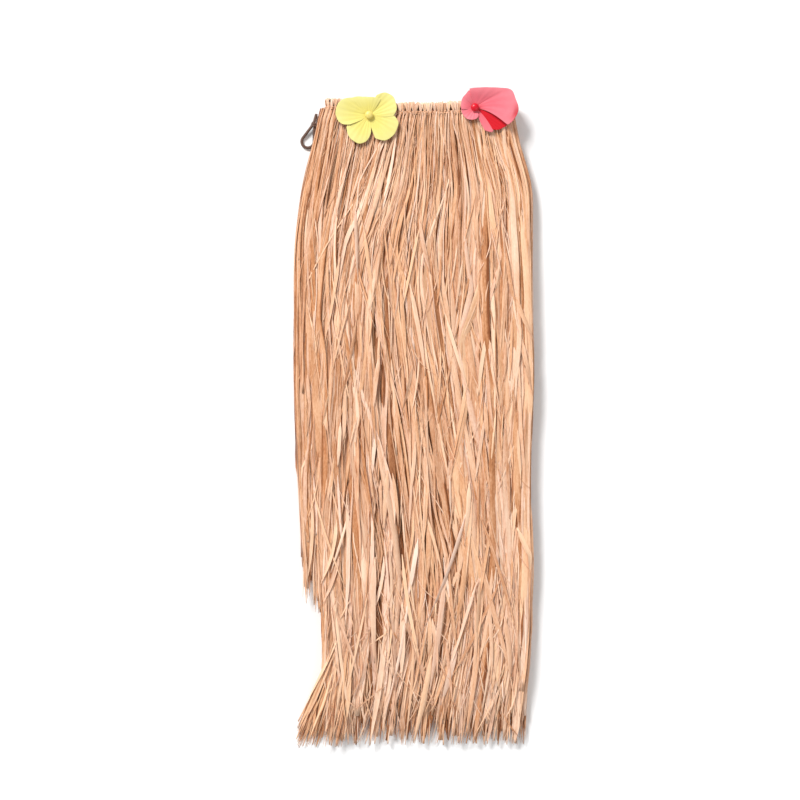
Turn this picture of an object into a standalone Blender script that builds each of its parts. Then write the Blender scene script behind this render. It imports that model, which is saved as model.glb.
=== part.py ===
"""A raffia grass skirt, folded in four and laid on its back.

Frame: metres, +X to the right, +Y up towards the waist, +Z up from the surface that the skirt rests on.
The origin is on that surface, under the middle of the box round the skirt and its two flowers.
"Down" is a distance from the waist's top edge towards the hem, and "across" is a share of the width, 0 at the
left edge and 1 at the right one.
"""

import math
import random
from collections import namedtuple

import bmesh
import bpy
from mathutils import Vector, noise

# The folded skirt
LENGTH = 0.624  # waist edge to hem
WAIST_SAG = 0.005  # how much lower the middle of the waist edge lies than its ends
SAG_FADE = 0.150  # the sag has died out this far down
GAP = 0.0003  # between neighbouring solids
HIDDEN_LAYERS = 3  # the folded panel has four layers, and the fourth is the front fringe
HIDDEN_INSET = 0.003  # the front layer overhangs the hidden ones by this much
FRINGE_DROP = 0.046  # the hidden layers end this far above the hem, and their fringe goes on
RIM_SHARE = 0.80  # height of the stack at its sides, as a share of its height in the middle
CROWN_RUN = 0.024  # the stack reaches its full height this far in from a side

# Outline of the folded skirt and height of its hidden layers. The left edge has a notch above the hem,
# where the raffia is drawn in before it splays.
Section = namedtuple("Section", "down left right stack")
SECTIONS = (
    Section(down=0.000, left=-0.0835, right=0.0994, stack=0.0120),
    Section(down=0.015, left=-0.0907, right=0.0999, stack=0.0122),
    Section(down=0.043, left=-0.0979, right=0.1008, stack=0.0128),
    Section(down=0.091, left=-0.1090, right=0.1137, stack=0.0138),
    Section(down=0.129, left=-0.1146, right=0.1143, stack=0.0144),
    Section(down=0.207, left=-0.1172, right=0.1153, stack=0.0150),
    Section(down=0.264, left=-0.1175, right=0.1166, stack=0.0152),
    Section(down=0.342, left=-0.1148, right=0.1139, stack=0.0152),
    Section(down=0.474, left=-0.1080, right=0.1139, stack=0.0139),
    Section(down=0.500, left=-0.0980, right=0.1139, stack=0.0135),
    Section(down=0.535, left=-0.0925, right=0.1134, stack=0.0130),
    Section(down=0.558, left=-0.0960, right=0.1119, stack=0.0126),
    Section(down=0.578, left=-0.1030, right=0.1098, stack=0.0115),
    Section(down=0.602, left=-0.1100, right=0.1090, stack=0.0100),
    Section(down=0.624, left=-0.1135, right=0.1081, stack=0.0086),
)

# The hidden layers' solid
STACK_COLUMNS = 40  # every second one is a ridge of packed raffia
CLOSE_ROWS = 0.008  # no row of points lies closer than this to the layers' end
RIDGE_DEPTH = 0.0011
BOTTOM_INSET = 0.0014
TOP_INSET = 0.0012
LAYER_FACE = (0.28, 0.74)  # each layer's side is upright between these shares of its height
TOP_SWAY = 0.31  # how far the ridges wander, as a share of a column
GROOVE = {"left": (0.0006, 0.0028), "right": (0.0028, 0.0006), "waist": (0.0020, 0.0020), "hem": (0.0, 0.0)}

# The waist: raffia folded over a cord in hairpins, bound by a row of twining
CORD_DOWN = 0.0044
CORD_RADIUS = 0.0018
HAIRPINS = 40
HAIRPIN_RADIUS = 0.00305  # of the middle of the bent raffia
HAIRPIN_THICKNESS = 0.0014
HAIRPIN_FILL = 0.84  # share of its pitch that a hairpin fills
HAIRPIN_LEG = 0.0063  # from the cord to where a leg enters the twining
LEG_SPREAD = 0.55  # height of a leg there, as a share of the hairpin's radius
TWINING_DOWN = 0.0118
TWINING_HALF_DEPTH = 0.0027
TWINING_HALF_HEIGHT = 0.0031
TWINING_PINCH = (1.04, 0.94)  # at a stitch's middle, and between stitches
TWINING_SIDES = 8
ROOT_DOWN = 0.0129  # strands start inside the twining here

# The front layer's strands, in tiers that lie on each other
Tier = namedtuple("Tier", "count margin height root_rise drift seed widest")
TIERS = (
    Tier(count=50, margin=0.00, height=0.0014, root_rise=-0.0024, drift=0.045, seed=3.7, widest=0.0034),
    Tier(count=34, margin=0.00, height=0.0015, root_rise=-0.0007, drift=0.060, seed=11.3, widest=0.0056),
    Tier(count=9, margin=0.07, height=0.0013, root_rise=0.0011, drift=0.110, seed=23.1, widest=0.0062),
)
STATIONS = (0.046, 0.130, 0.225, 0.330, 0.435, 0.556)  # strands have a point at each, and at the tip
DRIFT_ACROSS = 5.0
DRIFT_DOWN = 7.0
DRIFT_RUN = 0.220
STRAND_FILL = 0.84
SLOPE_STEP = 0.012
BED_REACH = 0.0025  # each tier's strands clear what lies this far to their sides, for each tier below them
RAGGED = 0.026  # the longest that a strand falls short of the hem
STRAND_TIP = (0.35, 0.40)  # width and height of a strand's tip, as shares of the strand's own

# The hidden layers' fringe, which shows at the hem
FRINGE_ROWS = (0.05, 0.36, 0.67)  # height of each row's foot, as a share of the stack
LOCKS = 24
LOCK_HEIGHT = 0.25  # share of the stack
LOCK_FILL = 0.74  # share of its pitch that a lock fills at its root
LOCK_TAPER = 0.55  # share of its height that it loses towards its tip
LOCK_TIP = 0.0016
LOCK_SWAY = 0.15  # the most that a tip drifts to one side, as a share of the pitch
FRINGE_STRIP = 0.0052
FRINGE_TOP = 0.93  # height of the strip, as a share of the stack
ROOT_DEPTH = 0.6  # locks start this far into the strip

# Cloth flowers sewn to the waist. A petal's bearing is in degrees, anticlockwise from +X.
Petal = namedtuple("Petal", "bearing length lift")
Flower = namedtuple("Flower", "name x down petals spread folds")
FLOWERS = (
    Flower(
        name="yellow",
        x=-0.0434,
        down=0.0203,
        petals=(
            Petal(bearing=180, length=0.0345, lift=0.0022),
            Petal(bearing=252, length=0.0285, lift=0.0012),
            Petal(bearing=324, length=0.0315, lift=0.0030),
            Petal(bearing=36, length=0.0300, lift=0.0012),
            Petal(bearing=106, length=0.0225, lift=0.0004),
        ),
        spread=41,
        folds=3,
    ),
    Flower(
        name="red",
        x=0.0575,
        down=0.0119,
        petals=(
            Petal(bearing=12, length=0.0425, lift=0.0046),
            Petal(bearing=-44, length=0.0300, lift=0.0008),
            Petal(bearing=-108, length=0.0135, lift=0.0030),
            Petal(bearing=176, length=0.0150, lift=0.0040),
            Petal(bearing=76, length=0.0190, lift=0.0046),
        ),
        spread=40,
        folds=2,
    ),
)
PETAL_CLOTH = 0.0010
FLOWER_HEART = 0.0042  # radius of the flat middle that is sewn down
PETAL_WEB = 0.0090  # the petals are joined out to this radius
PETAL_BLUNTNESS = 0.36  # 0 for a square end, 1 for a narrow one
LIFT_REACH = 72  # degrees to each side that a petal's lift is felt
RUFFLE_HEIGHT = 0.0016
FLOWER_TILT = 0.035  # fall per metre towards the hem
PETAL_STEPS = 40  # round the flower
PETAL_RINGS = 4
BEAD_RADIUS = 0.0035
BEAD_HEIGHT = 0.0034

# The waist cord's free end, knotted to a loop, which comes out between the folded layers at the left
TIE_RADIUS = 0.0014
TIE_DOWN = 0.0270
TIE_HEIGHT = 0.0040
TIE_LEAD = 0.0030
KNOT_RADIUS = 0.0029
LOOP_RADIUS = 0.0060  # of the loop's round end, over two cord diameters
LOOP_REACH = 0.0172  # from the knot's middle to that of the round end
LOOP_ROOT = 0.0016  # the loop's two ends leave the knot this far to each side of its middle
LOOP_FALL = 0.0115  # the loop comes down to the surface along this length
LOOP_TURN = 20  # degrees that the loop leans to the left
LOOP_POINTS = 17  # round its end
TAIL_LENGTH = 0.0080
TAIL_SWAY = 0.0010
TAIL_FALL = 0.0015
TAIL_TURN = -8

RAFFIA = (0.72, 0.47, 0.29)
RAFFIA_INNER = (0.58, 0.36, 0.21)
CORD_BROWN = (0.16, 0.085, 0.06)
PETAL_COLOURS = {"yellow": (0.90, 0.82, 0.20), "red": (0.86, 0.10, 0.15)}
BEAD_COLOURS = {"yellow": (0.90, 0.58, 0.12), "red": (0.75, 0.01, 0.03)}


def ease(share):
    """0 below 0, 1 above 1, and a smooth step between them."""
    share = min(max(share, 0.0), 1.0)
    return share * share * (3 - 2 * share)


def read(column, down):
    """A column of SECTIONS at a distance down, on a smooth curve through its rows."""
    rows = [(section.down, getattr(section, column)) for section in SECTIONS]
    down = min(max(down, rows[0][0]), rows[-1][0])
    at = next(i for i in range(1, len(rows)) if down <= rows[i][0])
    (start, low), (end, high) = rows[at - 1], rows[at]
    before, beyond = rows[max(at - 2, 0)], rows[min(at + 1, len(rows) - 1)]
    span = end - start
    low_slope = (high - before[1]) / (end - before[0]) * span
    high_slope = (beyond[1] - low) / (beyond[0] - start) * span
    t = (down - start) / span
    curve = low * (2 * t**3 - 3 * t**2 + 1) + high * (3 * t**2 - 2 * t**3)
    return curve + low_slope * (t**3 - 2 * t**2 + t) + high_slope * (t**3 - t**2)


def place(across, down):
    """The point of the outline's plan at these shares, at no height."""
    left, right = read("left", down), read("right", down)
    sag = WAIST_SAG * 4 * across * (1 - across) * (1 - ease(down / SAG_FADE))
    return Vector((left + across * (right - left), LENGTH / 2 - down - sag, 0))


def across_of(x, down):
    left, right = read("left", down), read("right", down)
    return (x - left) / (right - left)


def stack_top(across, down):
    """Height of the hidden layers' ridges."""
    width = read("right", down) - read("left", down)
    from_side = min(across, 1 - across) * width
    middle = read("stack", down)
    rim = RIM_SHARE * middle
    return rim + (middle - rim) * ease(from_side / CROWN_RUN)


def cord_height(across):
    """Height of the waist cord's axis: its hairpins rest on the hidden layers."""
    return stack_top(across, CORD_DOWN) + GAP + HAIRPIN_RADIUS + HAIRPIN_THICKNESS / 2


def clear_scene():
    for obj in list(bpy.data.objects):
        bpy.data.objects.remove(obj)


def collection(name):
    made = bpy.data.collections.new(name)
    bpy.context.scene.collection.children.link(made)
    return made


def material(name, colour, roughness):
    made = bpy.data.materials.new(name)
    made.use_nodes = True
    shader = made.node_tree.nodes["Principled BSDF"]
    shader.inputs["Base Color"].default_value = (*colour, 1)
    shader.inputs["Roughness"].default_value = roughness
    shader.inputs["Metallic"].default_value = 0
    return made


def add_object(name, data, group, finish=None):
    obj = bpy.data.objects.new(name, data)
    group.objects.link(obj)
    if finish:
        data.materials.append(finish)
    return obj


def mesh_of(cage, name):
    """A finished bmesh as mesh data, with its faces turned outwards."""
    bmesh.ops.recalc_face_normals(cage, faces=cage.faces)
    data = bpy.data.meshes.new(name)
    cage.to_mesh(data)
    cage.free()
    return data


def skin(cage, rings, closed_ends=True):
    """Faces between rings of corners, and over the two end rings."""
    for ring, after in zip(rings, rings[1:]):
        for i in range(len(ring)):
            j = (i + 1) % len(ring)
            cage.faces.new((ring[i], ring[j], after[j], after[i]))
    if closed_ends:
        cage.faces.new(rings[0])
        cage.faces.new(rings[-1])


def add_strand(cage, path, widths, heights, lean):
    """A strand of three sides along a path of foot points: two corners at its foot and a ridge above them."""
    rings = []
    for i, foot in enumerate(path):
        run = path[min(i + 1, len(path) - 1)] - path[max(i - 1, 0)]
        side = Vector((-run.y, run.x, 0)).normalized()
        corners = (
            foot - side * widths[i] / 2,
            foot + side * widths[i] / 2,
            foot + side * lean * widths[i] + Vector((0, 0, heights[i])),
        )
        rings.append([cage.verts.new(corner) for corner in corners])
    skin(cage, rings)


def edge_loop():
    """The stack's outline as (across, down, side, inward direction), once round from the waist's left end."""
    end = LENGTH - FRINGE_DROP
    downs = [section.down for section in SECTIONS if section.down < end - CLOSE_ROWS] + [end]
    shares = [i / STACK_COLUMNS for i in range(STACK_COLUMNS + 1)]
    loop = [(0.0, down, "left", (1, 0)) for down in downs[:-1]]
    loop += [(share, end, "hem", (0, 0)) for share in shares[:-1]]
    loop += [(1.0, down, "right", (-1, 0)) for down in reversed(downs[1:])]
    loop += [(share, 0.0, "waist", (0, -1)) for share in reversed(shares[1:])]
    return downs, shares, loop


def inner_place(across, down):
    """A point of the hidden layers' plan, which the front layer overhangs at the sides."""
    point = place(across, down)
    point.x += HIDDEN_INSET * (1 - 2 * across)
    return point


def layer_ring(cage, loop, share, layer, inset_name):
    """One ring of the stack's side, at a share of its rim's height."""
    ring = []
    for across, down, side, inward in loop:
        point = inner_place(across, down)
        point.z = share * RIM_SHARE * read("stack", down)
        inset = 0.0
        if inset_name == "groove":
            inset = GROOVE[side][layer - 1] * (1 + 0.4 * noise.noise(Vector((across * 9, down * 30, layer))))
        elif inset_name == "bottom":
            inset = BOTTOM_INSET
        elif inset_name == "top":
            inset = TOP_INSET
        if side == "hem" and inset_name in ("bottom", "top"):
            inset = 0.0
        point.x += inward[0] * inset
        point.y += inward[1] * inset
        ring.append(cage.verts.new(point))
    return ring


def add_hidden_layers(group, finish):
    """Three folded layers in one solid: flat below, layered round its sides and ridged above."""
    cage = bmesh.new()
    downs, shares, loop = edge_loop()
    rings = [layer_ring(cage, loop, 0.0, 0, "bottom")]
    for layer in range(HIDDEN_LAYERS):
        if layer:
            rings.append(layer_ring(cage, loop, layer / HIDDEN_LAYERS, layer, "groove"))
        for share in LAYER_FACE:
            rings.append(layer_ring(cage, loop, (layer + share) / HIDDEN_LAYERS, layer, "bulge"))
    rings.append(layer_ring(cage, loop, 1.0, 0, "top"))
    skin(cage, rings, closed_ends=False)
    cage.faces.new(rings[0])

    rim = {(across, down): corner for (across, down, _, _), corner in zip(loop, rings[-1])}
    grid = []
    for down in downs:
        row = []
        for i, across in enumerate(shares):
            corner = rim.get((across, down))
            if corner is None:
                wander = noise.noise(Vector((across * 6, down * 8, 5.5)))
                point = inner_place(across + TOP_SWAY * wander / STACK_COLUMNS, down)
                valley = RIDGE_DEPTH * (i % 2) * (1 + 0.5 * noise.noise(Vector((i, down * 12, 2.5))))
                point.z = stack_top(across, down) - valley
                corner = cage.verts.new(point)
            row.append(corner)
        grid.append(row)
    for row, after in zip(grid, grid[1:]):
        for i in range(STACK_COLUMNS):
            cage.faces.new((row[i], row[i + 1], after[i + 1], after[i]))
    return add_object("hidden_layers", mesh_of(cage, "hidden_layers"), group, finish)


def drifted(start, down, tier):
    """Where a strand that leaves the waist at share start lies further down. Its neighbours keep their order."""
    wander = noise.noise(Vector((start * DRIFT_ACROSS, down * DRIFT_DOWN, tier.seed)))
    near_edge = min(1.0, 7 * min(start, 1 - start))
    return start + tier.drift * near_edge * ease(down / DRIFT_RUN) * wander


def tier_rise(index):
    """How far above the hidden layers a tier's feet lie."""
    return GAP * (1 + 2 * index) + sum(tier.height for tier in TIERS[:index])


def add_tier(cage, index):
    """The strands of one tier. A strand is as wide as the room between its neighbours allows."""
    tier = TIERS[index]
    chance = random.Random(tier.count)
    starts = [tier.margin + (1 - 2 * tier.margin) * (i + 0.5) / tier.count for i in range(tier.count)]
    fills = [STRAND_FILL * chance.uniform(0.72, 1.0) for _ in starts]
    tips = [LENGTH - RAGGED * chance.random() ** 1.6 for _ in starts]
    leans = [chance.uniform(-0.22, 0.22) for _ in starts]

    def room(i, down):
        """Clear distance to the nearest neighbour, square to the strand's own run."""
        middles = [place(drifted(start, down, tier), down).x for start in starts]
        gaps = [abs(middles[i] - middles[j]) for j in (i - 1, i + 1) if 0 <= j < len(middles)]
        ahead = place(drifted(starts[i], down + SLOPE_STEP, tier), down + SLOPE_STEP).x
        behind = place(drifted(starts[i], down - SLOPE_STEP, tier), down - SLOPE_STEP).x
        return min(gaps) * math.cos(math.atan2(ahead - behind, 2 * SLOPE_STEP))

    for i, start in enumerate(starts):
        downs = [ROOT_DOWN, *STATIONS, tips[i]]
        path, widths, heights = [], [], []
        for k, down in enumerate(downs):
            across = drifted(start, down, tier)
            point = place(across, down)
            width = min(fills[i] * room(i, down), tier.widest)
            height = tier.height
            if k == 0:
                point.z = cord_height(across) + tier.root_rise
                width = min(width, fills[i] * (read("right", 0) - read("left", 0)) / tier.count)
            else:
                reach = (width / 2 + BED_REACH * index) / (read("right", down) - read("left", down))
                beds = [stack_top(min(max(across + shift, 0), 1), down) for shift in (-reach, 0, reach)]
                point.z = max(beds) + tier_rise(index)
            if k == len(downs) - 1:
                width, height = STRAND_TIP[0] * width, STRAND_TIP[1] * height
            path.append(point)
            widths.append(width)
            heights.append(height)
        add_strand(cage, path, widths, heights, leans[i])


def add_hairpins(cage):
    """Bunches of raffia folded over the cord. Both legs of each go into the twining."""
    pitch = (read("right", 0) - read("left", 0)) / HAIRPINS
    half_width = HAIRPIN_FILL * pitch / 2
    bend = [math.radians(angle) for angle in (-90, -45, 0, 45, 90)]
    profile = [(-HAIRPIN_RADIUS * math.cos(a), HAIRPIN_RADIUS * math.sin(a)) for a in bend]
    leg_height = LEG_SPREAD * HAIRPIN_RADIUS
    profile = [(HAIRPIN_LEG, -leg_height), *profile, (HAIRPIN_LEG, leg_height)]
    for i in range(HAIRPINS):
        across = (i + 0.5) / HAIRPINS
        height = cord_height(across)
        rings = []
        for k, (down, rise) in enumerate(profile):
            before, after = profile[max(k - 1, 0)], profile[min(k + 1, len(profile) - 1)]
            run = Vector((after[0] - before[0], after[1] - before[1])).normalized()
            normal = Vector((-run.y, run.x)) * HAIRPIN_THICKNESS / 2
            corners = []
            for side, turn in ((-1, -1), (1, -1), (1, 1), (-1, 1)):
                point = place(across, max(CORD_DOWN + down, 0))
                point.y = place(across, CORD_DOWN).y - down - turn * normal.x
                point.x += side * half_width
                point.z = height + rise + turn * normal.y
                corners.append(cage.verts.new(point))
            rings.append(corners)
        skin(cage, rings)


def twining_mesh():
    """The bar of twining below the hairpins, pinched between its stitches."""
    cage = bmesh.new()
    rings = []
    for i in range(HAIRPINS + 1):
        across = i / HAIRPINS
        middle = place(across, TWINING_DOWN)
        middle.z = cord_height(across)
        pinch = TWINING_PINCH[i % 2]
        ring = []
        for k in range(TWINING_SIDES):
            angle = math.tau * (k + 0.5) / TWINING_SIDES
            depth = Vector((0, math.cos(angle) * TWINING_HALF_DEPTH, math.sin(angle) * TWINING_HALF_HEIGHT))
            ring.append(cage.verts.new(middle + depth * pinch))
        rings.append(ring)
    skin(cage, rings)
    return mesh_of(cage, "twining")


def add_front_fringe(group, helpers, finish):
    """Hairpins and strands, which stand apart but for their roots in the bar of twining."""
    cage = bmesh.new()
    add_hairpins(cage)
    for index in range(len(TIERS)):
        add_tier(cage, index)
    raffia = add_object("front_raffia", mesh_of(cage, "front_raffia"), helpers)
    fringe = add_object("front_fringe", twining_mesh(), group, finish)
    fuse(fringe, raffia)
    return fringe


def fuse(obj, other):
    """Joins a helper to an object, so that the two are one body."""
    other.parent = obj
    other.hide_render = True
    other.display_type = "WIRE"
    union = obj.modifiers.new("roots", "BOOLEAN")
    union.operation = "UNION"
    union.solver = "EXACT"
    union.use_self = True
    union.object = other


def add_hem_fringe(group, helpers, finish):
    """The hidden layers' fringe: three rows of locks from a strip against the layers' ends."""
    start = LENGTH - FRINGE_DROP + GAP
    strip = bmesh.new()
    rings = []
    for i in range(STACK_COLUMNS + 1):
        across = i / STACK_COLUMNS
        top = FRINGE_TOP * stack_top(across, start)
        foot = GAP
        ring = []
        for down, height in ((start, foot), (start + FRINGE_STRIP, foot), (start + FRINGE_STRIP, top), (start, top)):
            point = inner_place(across, down)
            point.z = height
            ring.append(strip.verts.new(point))
        rings.append(ring)
    skin(strip, rings)
    fringe = add_object("hem_fringe", mesh_of(strip, "hem_fringe"), group, finish)

    cage = bmesh.new()
    chance = random.Random(29)
    for row, foot_share in enumerate(FRINGE_ROWS):
        for i in range(LOCKS):
            across = (i + 0.5 + chance.uniform(-0.08, 0.08)) / LOCKS
            tip = LENGTH - RAGGED * chance.random()
            sway = chance.uniform(-LOCK_SWAY, LOCK_SWAY) / LOCKS
            path, widths, heights = [], [], []
            for share in (0.0, 0.5, 1.0):
                root = start + ROOT_DEPTH * FRINGE_STRIP
                down = root + share * (tip - root)
                stack = stack_top(across, down)
                point = inner_place(across + sway * share, down)
                point.z = foot_share * stack + GAP
                pitch = (read("right", down) - read("left", down) - 2 * HIDDEN_INSET) / LOCKS
                path.append(point)
                widths.append(LOCK_FILL * pitch * (1 - share) + LOCK_TIP * share)
                heights.append(LOCK_HEIGHT * stack * (1 - LOCK_TAPER * share))
            add_strand(cage, path, widths, heights, chance.uniform(-0.2, 0.2))
    locks = add_object("hem_locks", mesh_of(cage, "hem_locks"), helpers)
    fuse(fringe, locks)
    return fringe


def tube(name, points, radius, group, finish):
    """A round cord along these points."""
    data = bpy.data.curves.new(name, "CURVE")
    data.dimensions = "3D"
    spline = data.splines.new("POLY")
    spline.points.add(len(points) - 1)
    for corner, point in zip(spline.points, points):
        corner.co = (*point, 1)
    data.bevel_depth = radius
    data.bevel_resolution = 2
    data.use_fill_caps = True
    return add_object(name, data, group, finish)


def add_waist_cord(group, finish):
    """The drawstring inside the front layer's hairpins."""
    points = []
    for i in range(HAIRPINS // 2 + 1):
        across = i / (HAIRPINS // 2)
        point = place(across, CORD_DOWN)
        point.z = cord_height(across)
        points.append(point)
    return tube("waist_cord", points, CORD_RADIUS, group, finish)


def rotated(x, y, degrees):
    angle = math.radians(degrees)
    return Vector((x * math.cos(angle) - y * math.sin(angle), x * math.sin(angle) + y * math.cos(angle), 0))


def loop_outline():
    """The loop's middle line seen from above, knot at the origin: straight out, round its end and straight back."""
    root_back = KNOT_RADIUS + GAP
    away = math.hypot(LOOP_ROOT, LOOP_REACH - root_back)
    opening = math.asin(LOOP_RADIUS / away) - math.atan2(LOOP_ROOT, LOOP_REACH - root_back)
    arc = []
    for i in range(LOOP_POINTS):
        angle = opening - (math.pi + 2 * opening) * i / (LOOP_POINTS - 1)
        arc.append((LOOP_RADIUS * math.cos(angle), -LOOP_REACH + LOOP_RADIUS * math.sin(angle)))
    start, end = (LOOP_ROOT, -root_back), (-LOOP_ROOT, -root_back)
    half_out = ((start[0] + arc[0][0]) / 2, (start[1] + arc[0][1]) / 2)
    half_back = ((end[0] + arc[-1][0]) / 2, (end[1] + arc[-1][1]) / 2)
    return [start, half_out, *arc, half_back, end]


def add_tie(group, finish):
    """The cord's free end: a lead out of the layers, a knot, a loop and a short tail, resting on the surface."""
    edge = inner_place(0, TIE_DOWN)
    knot = edge + Vector((-GAP - TIE_LEAD - GAP - KNOT_RADIUS, 0, TIE_HEIGHT))
    lead_start = edge + Vector((-GAP, 0, TIE_HEIGHT))
    lead = [lead_start, lead_start - Vector((TIE_LEAD / 2, 0, 0)), lead_start - Vector((TIE_LEAD, 0, 0))]
    made = [tube("tie_lead", lead, TIE_RADIUS, group, finish)]

    bpy.ops.mesh.primitive_uv_sphere_add(segments=12, ring_count=8, radius=KNOT_RADIUS)
    ball = bpy.context.object
    data = ball.data
    bpy.data.objects.remove(ball)
    data.name = "tie_knot"
    data.shade_smooth()
    knot_obj = add_object("tie_knot", data, group, finish)
    knot_obj.location = knot
    made.append(knot_obj)

    points = []
    for side, back in loop_outline():
        flat = rotated(side, back, -LOOP_TURN)
        fall = ease((-back - KNOT_RADIUS) / LOOP_FALL)
        height = TIE_HEIGHT + (TIE_RADIUS + GAP - TIE_HEIGHT) * fall
        points.append(Vector((knot.x + flat.x, knot.y + flat.y, height)))
    made.append(tube("tie_loop", points, TIE_RADIUS, group, finish))

    tail = []
    for i in range(5):
        share = i / 4
        reach = KNOT_RADIUS + GAP + TAIL_LENGTH * share
        flat = rotated(TAIL_SWAY * share, reach, TAIL_TURN)
        tail.append(Vector((knot.x + flat.x, knot.y + flat.y, TIE_HEIGHT - TAIL_FALL * share)))
    made.append(tube("tie_tail", tail, TIE_RADIUS * 0.9, group, finish))
    return made


def petal_reach(flower, bearing):
    """How far the flower's edge is from its middle at a bearing, and how far it is lifted there."""
    best, lift = PETAL_WEB, 0.0
    weights, total = 0.0, 0.0
    for petal in flower.petals:
        off = abs((bearing - petal.bearing + 180) % 360 - 180)
        if off < flower.spread:
            reach = petal.length * math.cos(off / flower.spread * math.pi / 2) ** PETAL_BLUNTNESS
            best = max(best, reach)
        closeness = max(0.0, 1 - off / LIFT_REACH) ** 2
        weights += closeness * petal.lift
        total += closeness
    if total:
        lift = weights / total
    return best, lift


def flower_rest(flower, y):
    """Height of the plane that a flower's underside stays above: it leans from the hairpins to the strands."""
    across = across_of(flower.x, CORD_DOWN)
    heads = cord_height(across) + HAIRPIN_RADIUS + HAIRPIN_THICKNESS / 2
    return heads + GAP - FLOWER_TILT * (place(across, CORD_DOWN).y - y)


def flower_centre(flower):
    across = across_of(flower.x, flower.down)
    return place(across, flower.down)


def add_petals(flower, group, finish):
    """One piece of cloth with five petals, flat in the middle and rising to ruffled edges."""
    cage = bmesh.new()
    centre = flower_centre(flower)
    middle = cage.verts.new((centre.x, centre.y, flower_rest(flower, centre.y)))
    rings = []
    for k in range(1, PETAL_RINGS + 1):
        ring = []
        for i in range(PETAL_STEPS):
            bearing = 360 * i / PETAL_STEPS
            reach, lift = petal_reach(flower, bearing)
            out = FLOWER_HEART + (reach - FLOWER_HEART) * (k - 1) / (PETAL_RINGS - 1)
            ruffle = 0.5 + 0.5 * math.sin(math.radians(bearing) * 5 * flower.folds / 2)
            share = (k - 1) / (PETAL_RINGS - 1)
            x = centre.x + out * math.cos(math.radians(bearing))
            y = centre.y + out * math.sin(math.radians(bearing))
            rise = lift * ease(share * 1.3) + RUFFLE_HEIGHT * ruffle * share
            ring.append(cage.verts.new((x, y, flower_rest(flower, y) + rise)))
        rings.append(ring)
    for i in range(PETAL_STEPS):
        cage.faces.new((middle, rings[0][i], rings[0][(i + 1) % PETAL_STEPS]))
    skin(cage, rings, closed_ends=False)
    name = flower.name + "_petals"
    data = mesh_of(cage, name)
    if data.polygons[0].normal.z < 0:
        data.flip_normals()
    petals = add_object(name, data, group, finish)
    wall = petals.modifiers.new("cloth", "SOLIDIFY")
    wall.thickness = PETAL_CLOTH
    wall.offset = 1.0
    return petals


def add_bead(flower, group, finish):
    """The domed plastic bead that holds a flower at its middle."""
    centre = flower_centre(flower)
    bpy.ops.mesh.primitive_uv_sphere_add(segments=12, ring_count=6, radius=BEAD_RADIUS)
    ball = bpy.context.object
    data = ball.data
    bpy.data.objects.remove(ball)
    for corner in data.vertices:
        corner.co.z *= BEAD_HEIGHT / 2 / BEAD_RADIUS
    data.name = flower.name + "_bead"
    data.shade_smooth()
    bead = add_object(flower.name + "_bead", data, group, finish)
    top = flower_rest(flower, centre.y) + PETAL_CLOTH + FLOWER_TILT * BEAD_RADIUS
    bead.location = (centre.x, centre.y, top + GAP + BEAD_HEIGHT / 2)
    return bead


def centre_on_origin(parts, left_out):
    """Moves the whole skirt so that the origin is under the middle of its box, the tie's pieces left out."""
    bpy.context.view_layer.update()
    graph = bpy.context.evaluated_depsgraph_get()
    corners = []
    for obj in parts:
        if obj not in left_out:
            shown = obj.evaluated_get(graph)
            data = shown.to_mesh()
            corners += [shown.matrix_world @ corner.co for corner in data.vertices]
            shown.to_mesh_clear()
    middle = [(min(c[k] for c in corners) + max(c[k] for c in corners)) / 2 for k in (0, 1)]
    root = bpy.data.objects.new("skirt", None)
    bpy.context.scene.collection.objects.link(root)
    root.location = (-middle[0], -middle[1], 0)
    for obj in parts:
        obj.parent = root


def main():
    clear_scene()
    group = collection("grass_skirt")
    helpers = collection("helpers")
    raffia = material("raffia", RAFFIA, 0.6)
    inner = material("raffia_inner", RAFFIA_INNER, 0.7)
    brown = material("cord_brown", CORD_BROWN, 0.7)

    parts = [
        add_hidden_layers(group, inner),
        add_hem_fringe(group, helpers, inner),
        add_front_fringe(group, helpers, raffia),
        add_waist_cord(group, brown),
    ]
    tie = add_tie(group, brown)
    parts += tie
    for flower in FLOWERS:
        cloth = material(flower.name + "_cloth", PETAL_COLOURS[flower.name], 0.5)
        plastic = material(flower.name + "_plastic", BEAD_COLOURS[flower.name], 0.3)
        parts.append(add_petals(flower, group, cloth))
        parts.append(add_bead(flower, group, plastic))
    centre_on_origin(parts, tie)


main()
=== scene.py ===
"""Finish and fine pieces of a folded raffia grass skirt, built round its construction model.

All lengths are in metres, in the construction's own axes: +X right, +Y towards the waist, +Z up from the
surface that the skirt rests on. "Down" is a distance from the waist's top edge towards the hem, and "turn"
goes once round the folded skirt's section: 0 under its middle, 0.25 at its left side, 0.5 on top and 0.75
at its right side.
"""

import logging
import math
from dataclasses import dataclass, field
from enum import Enum

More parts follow.
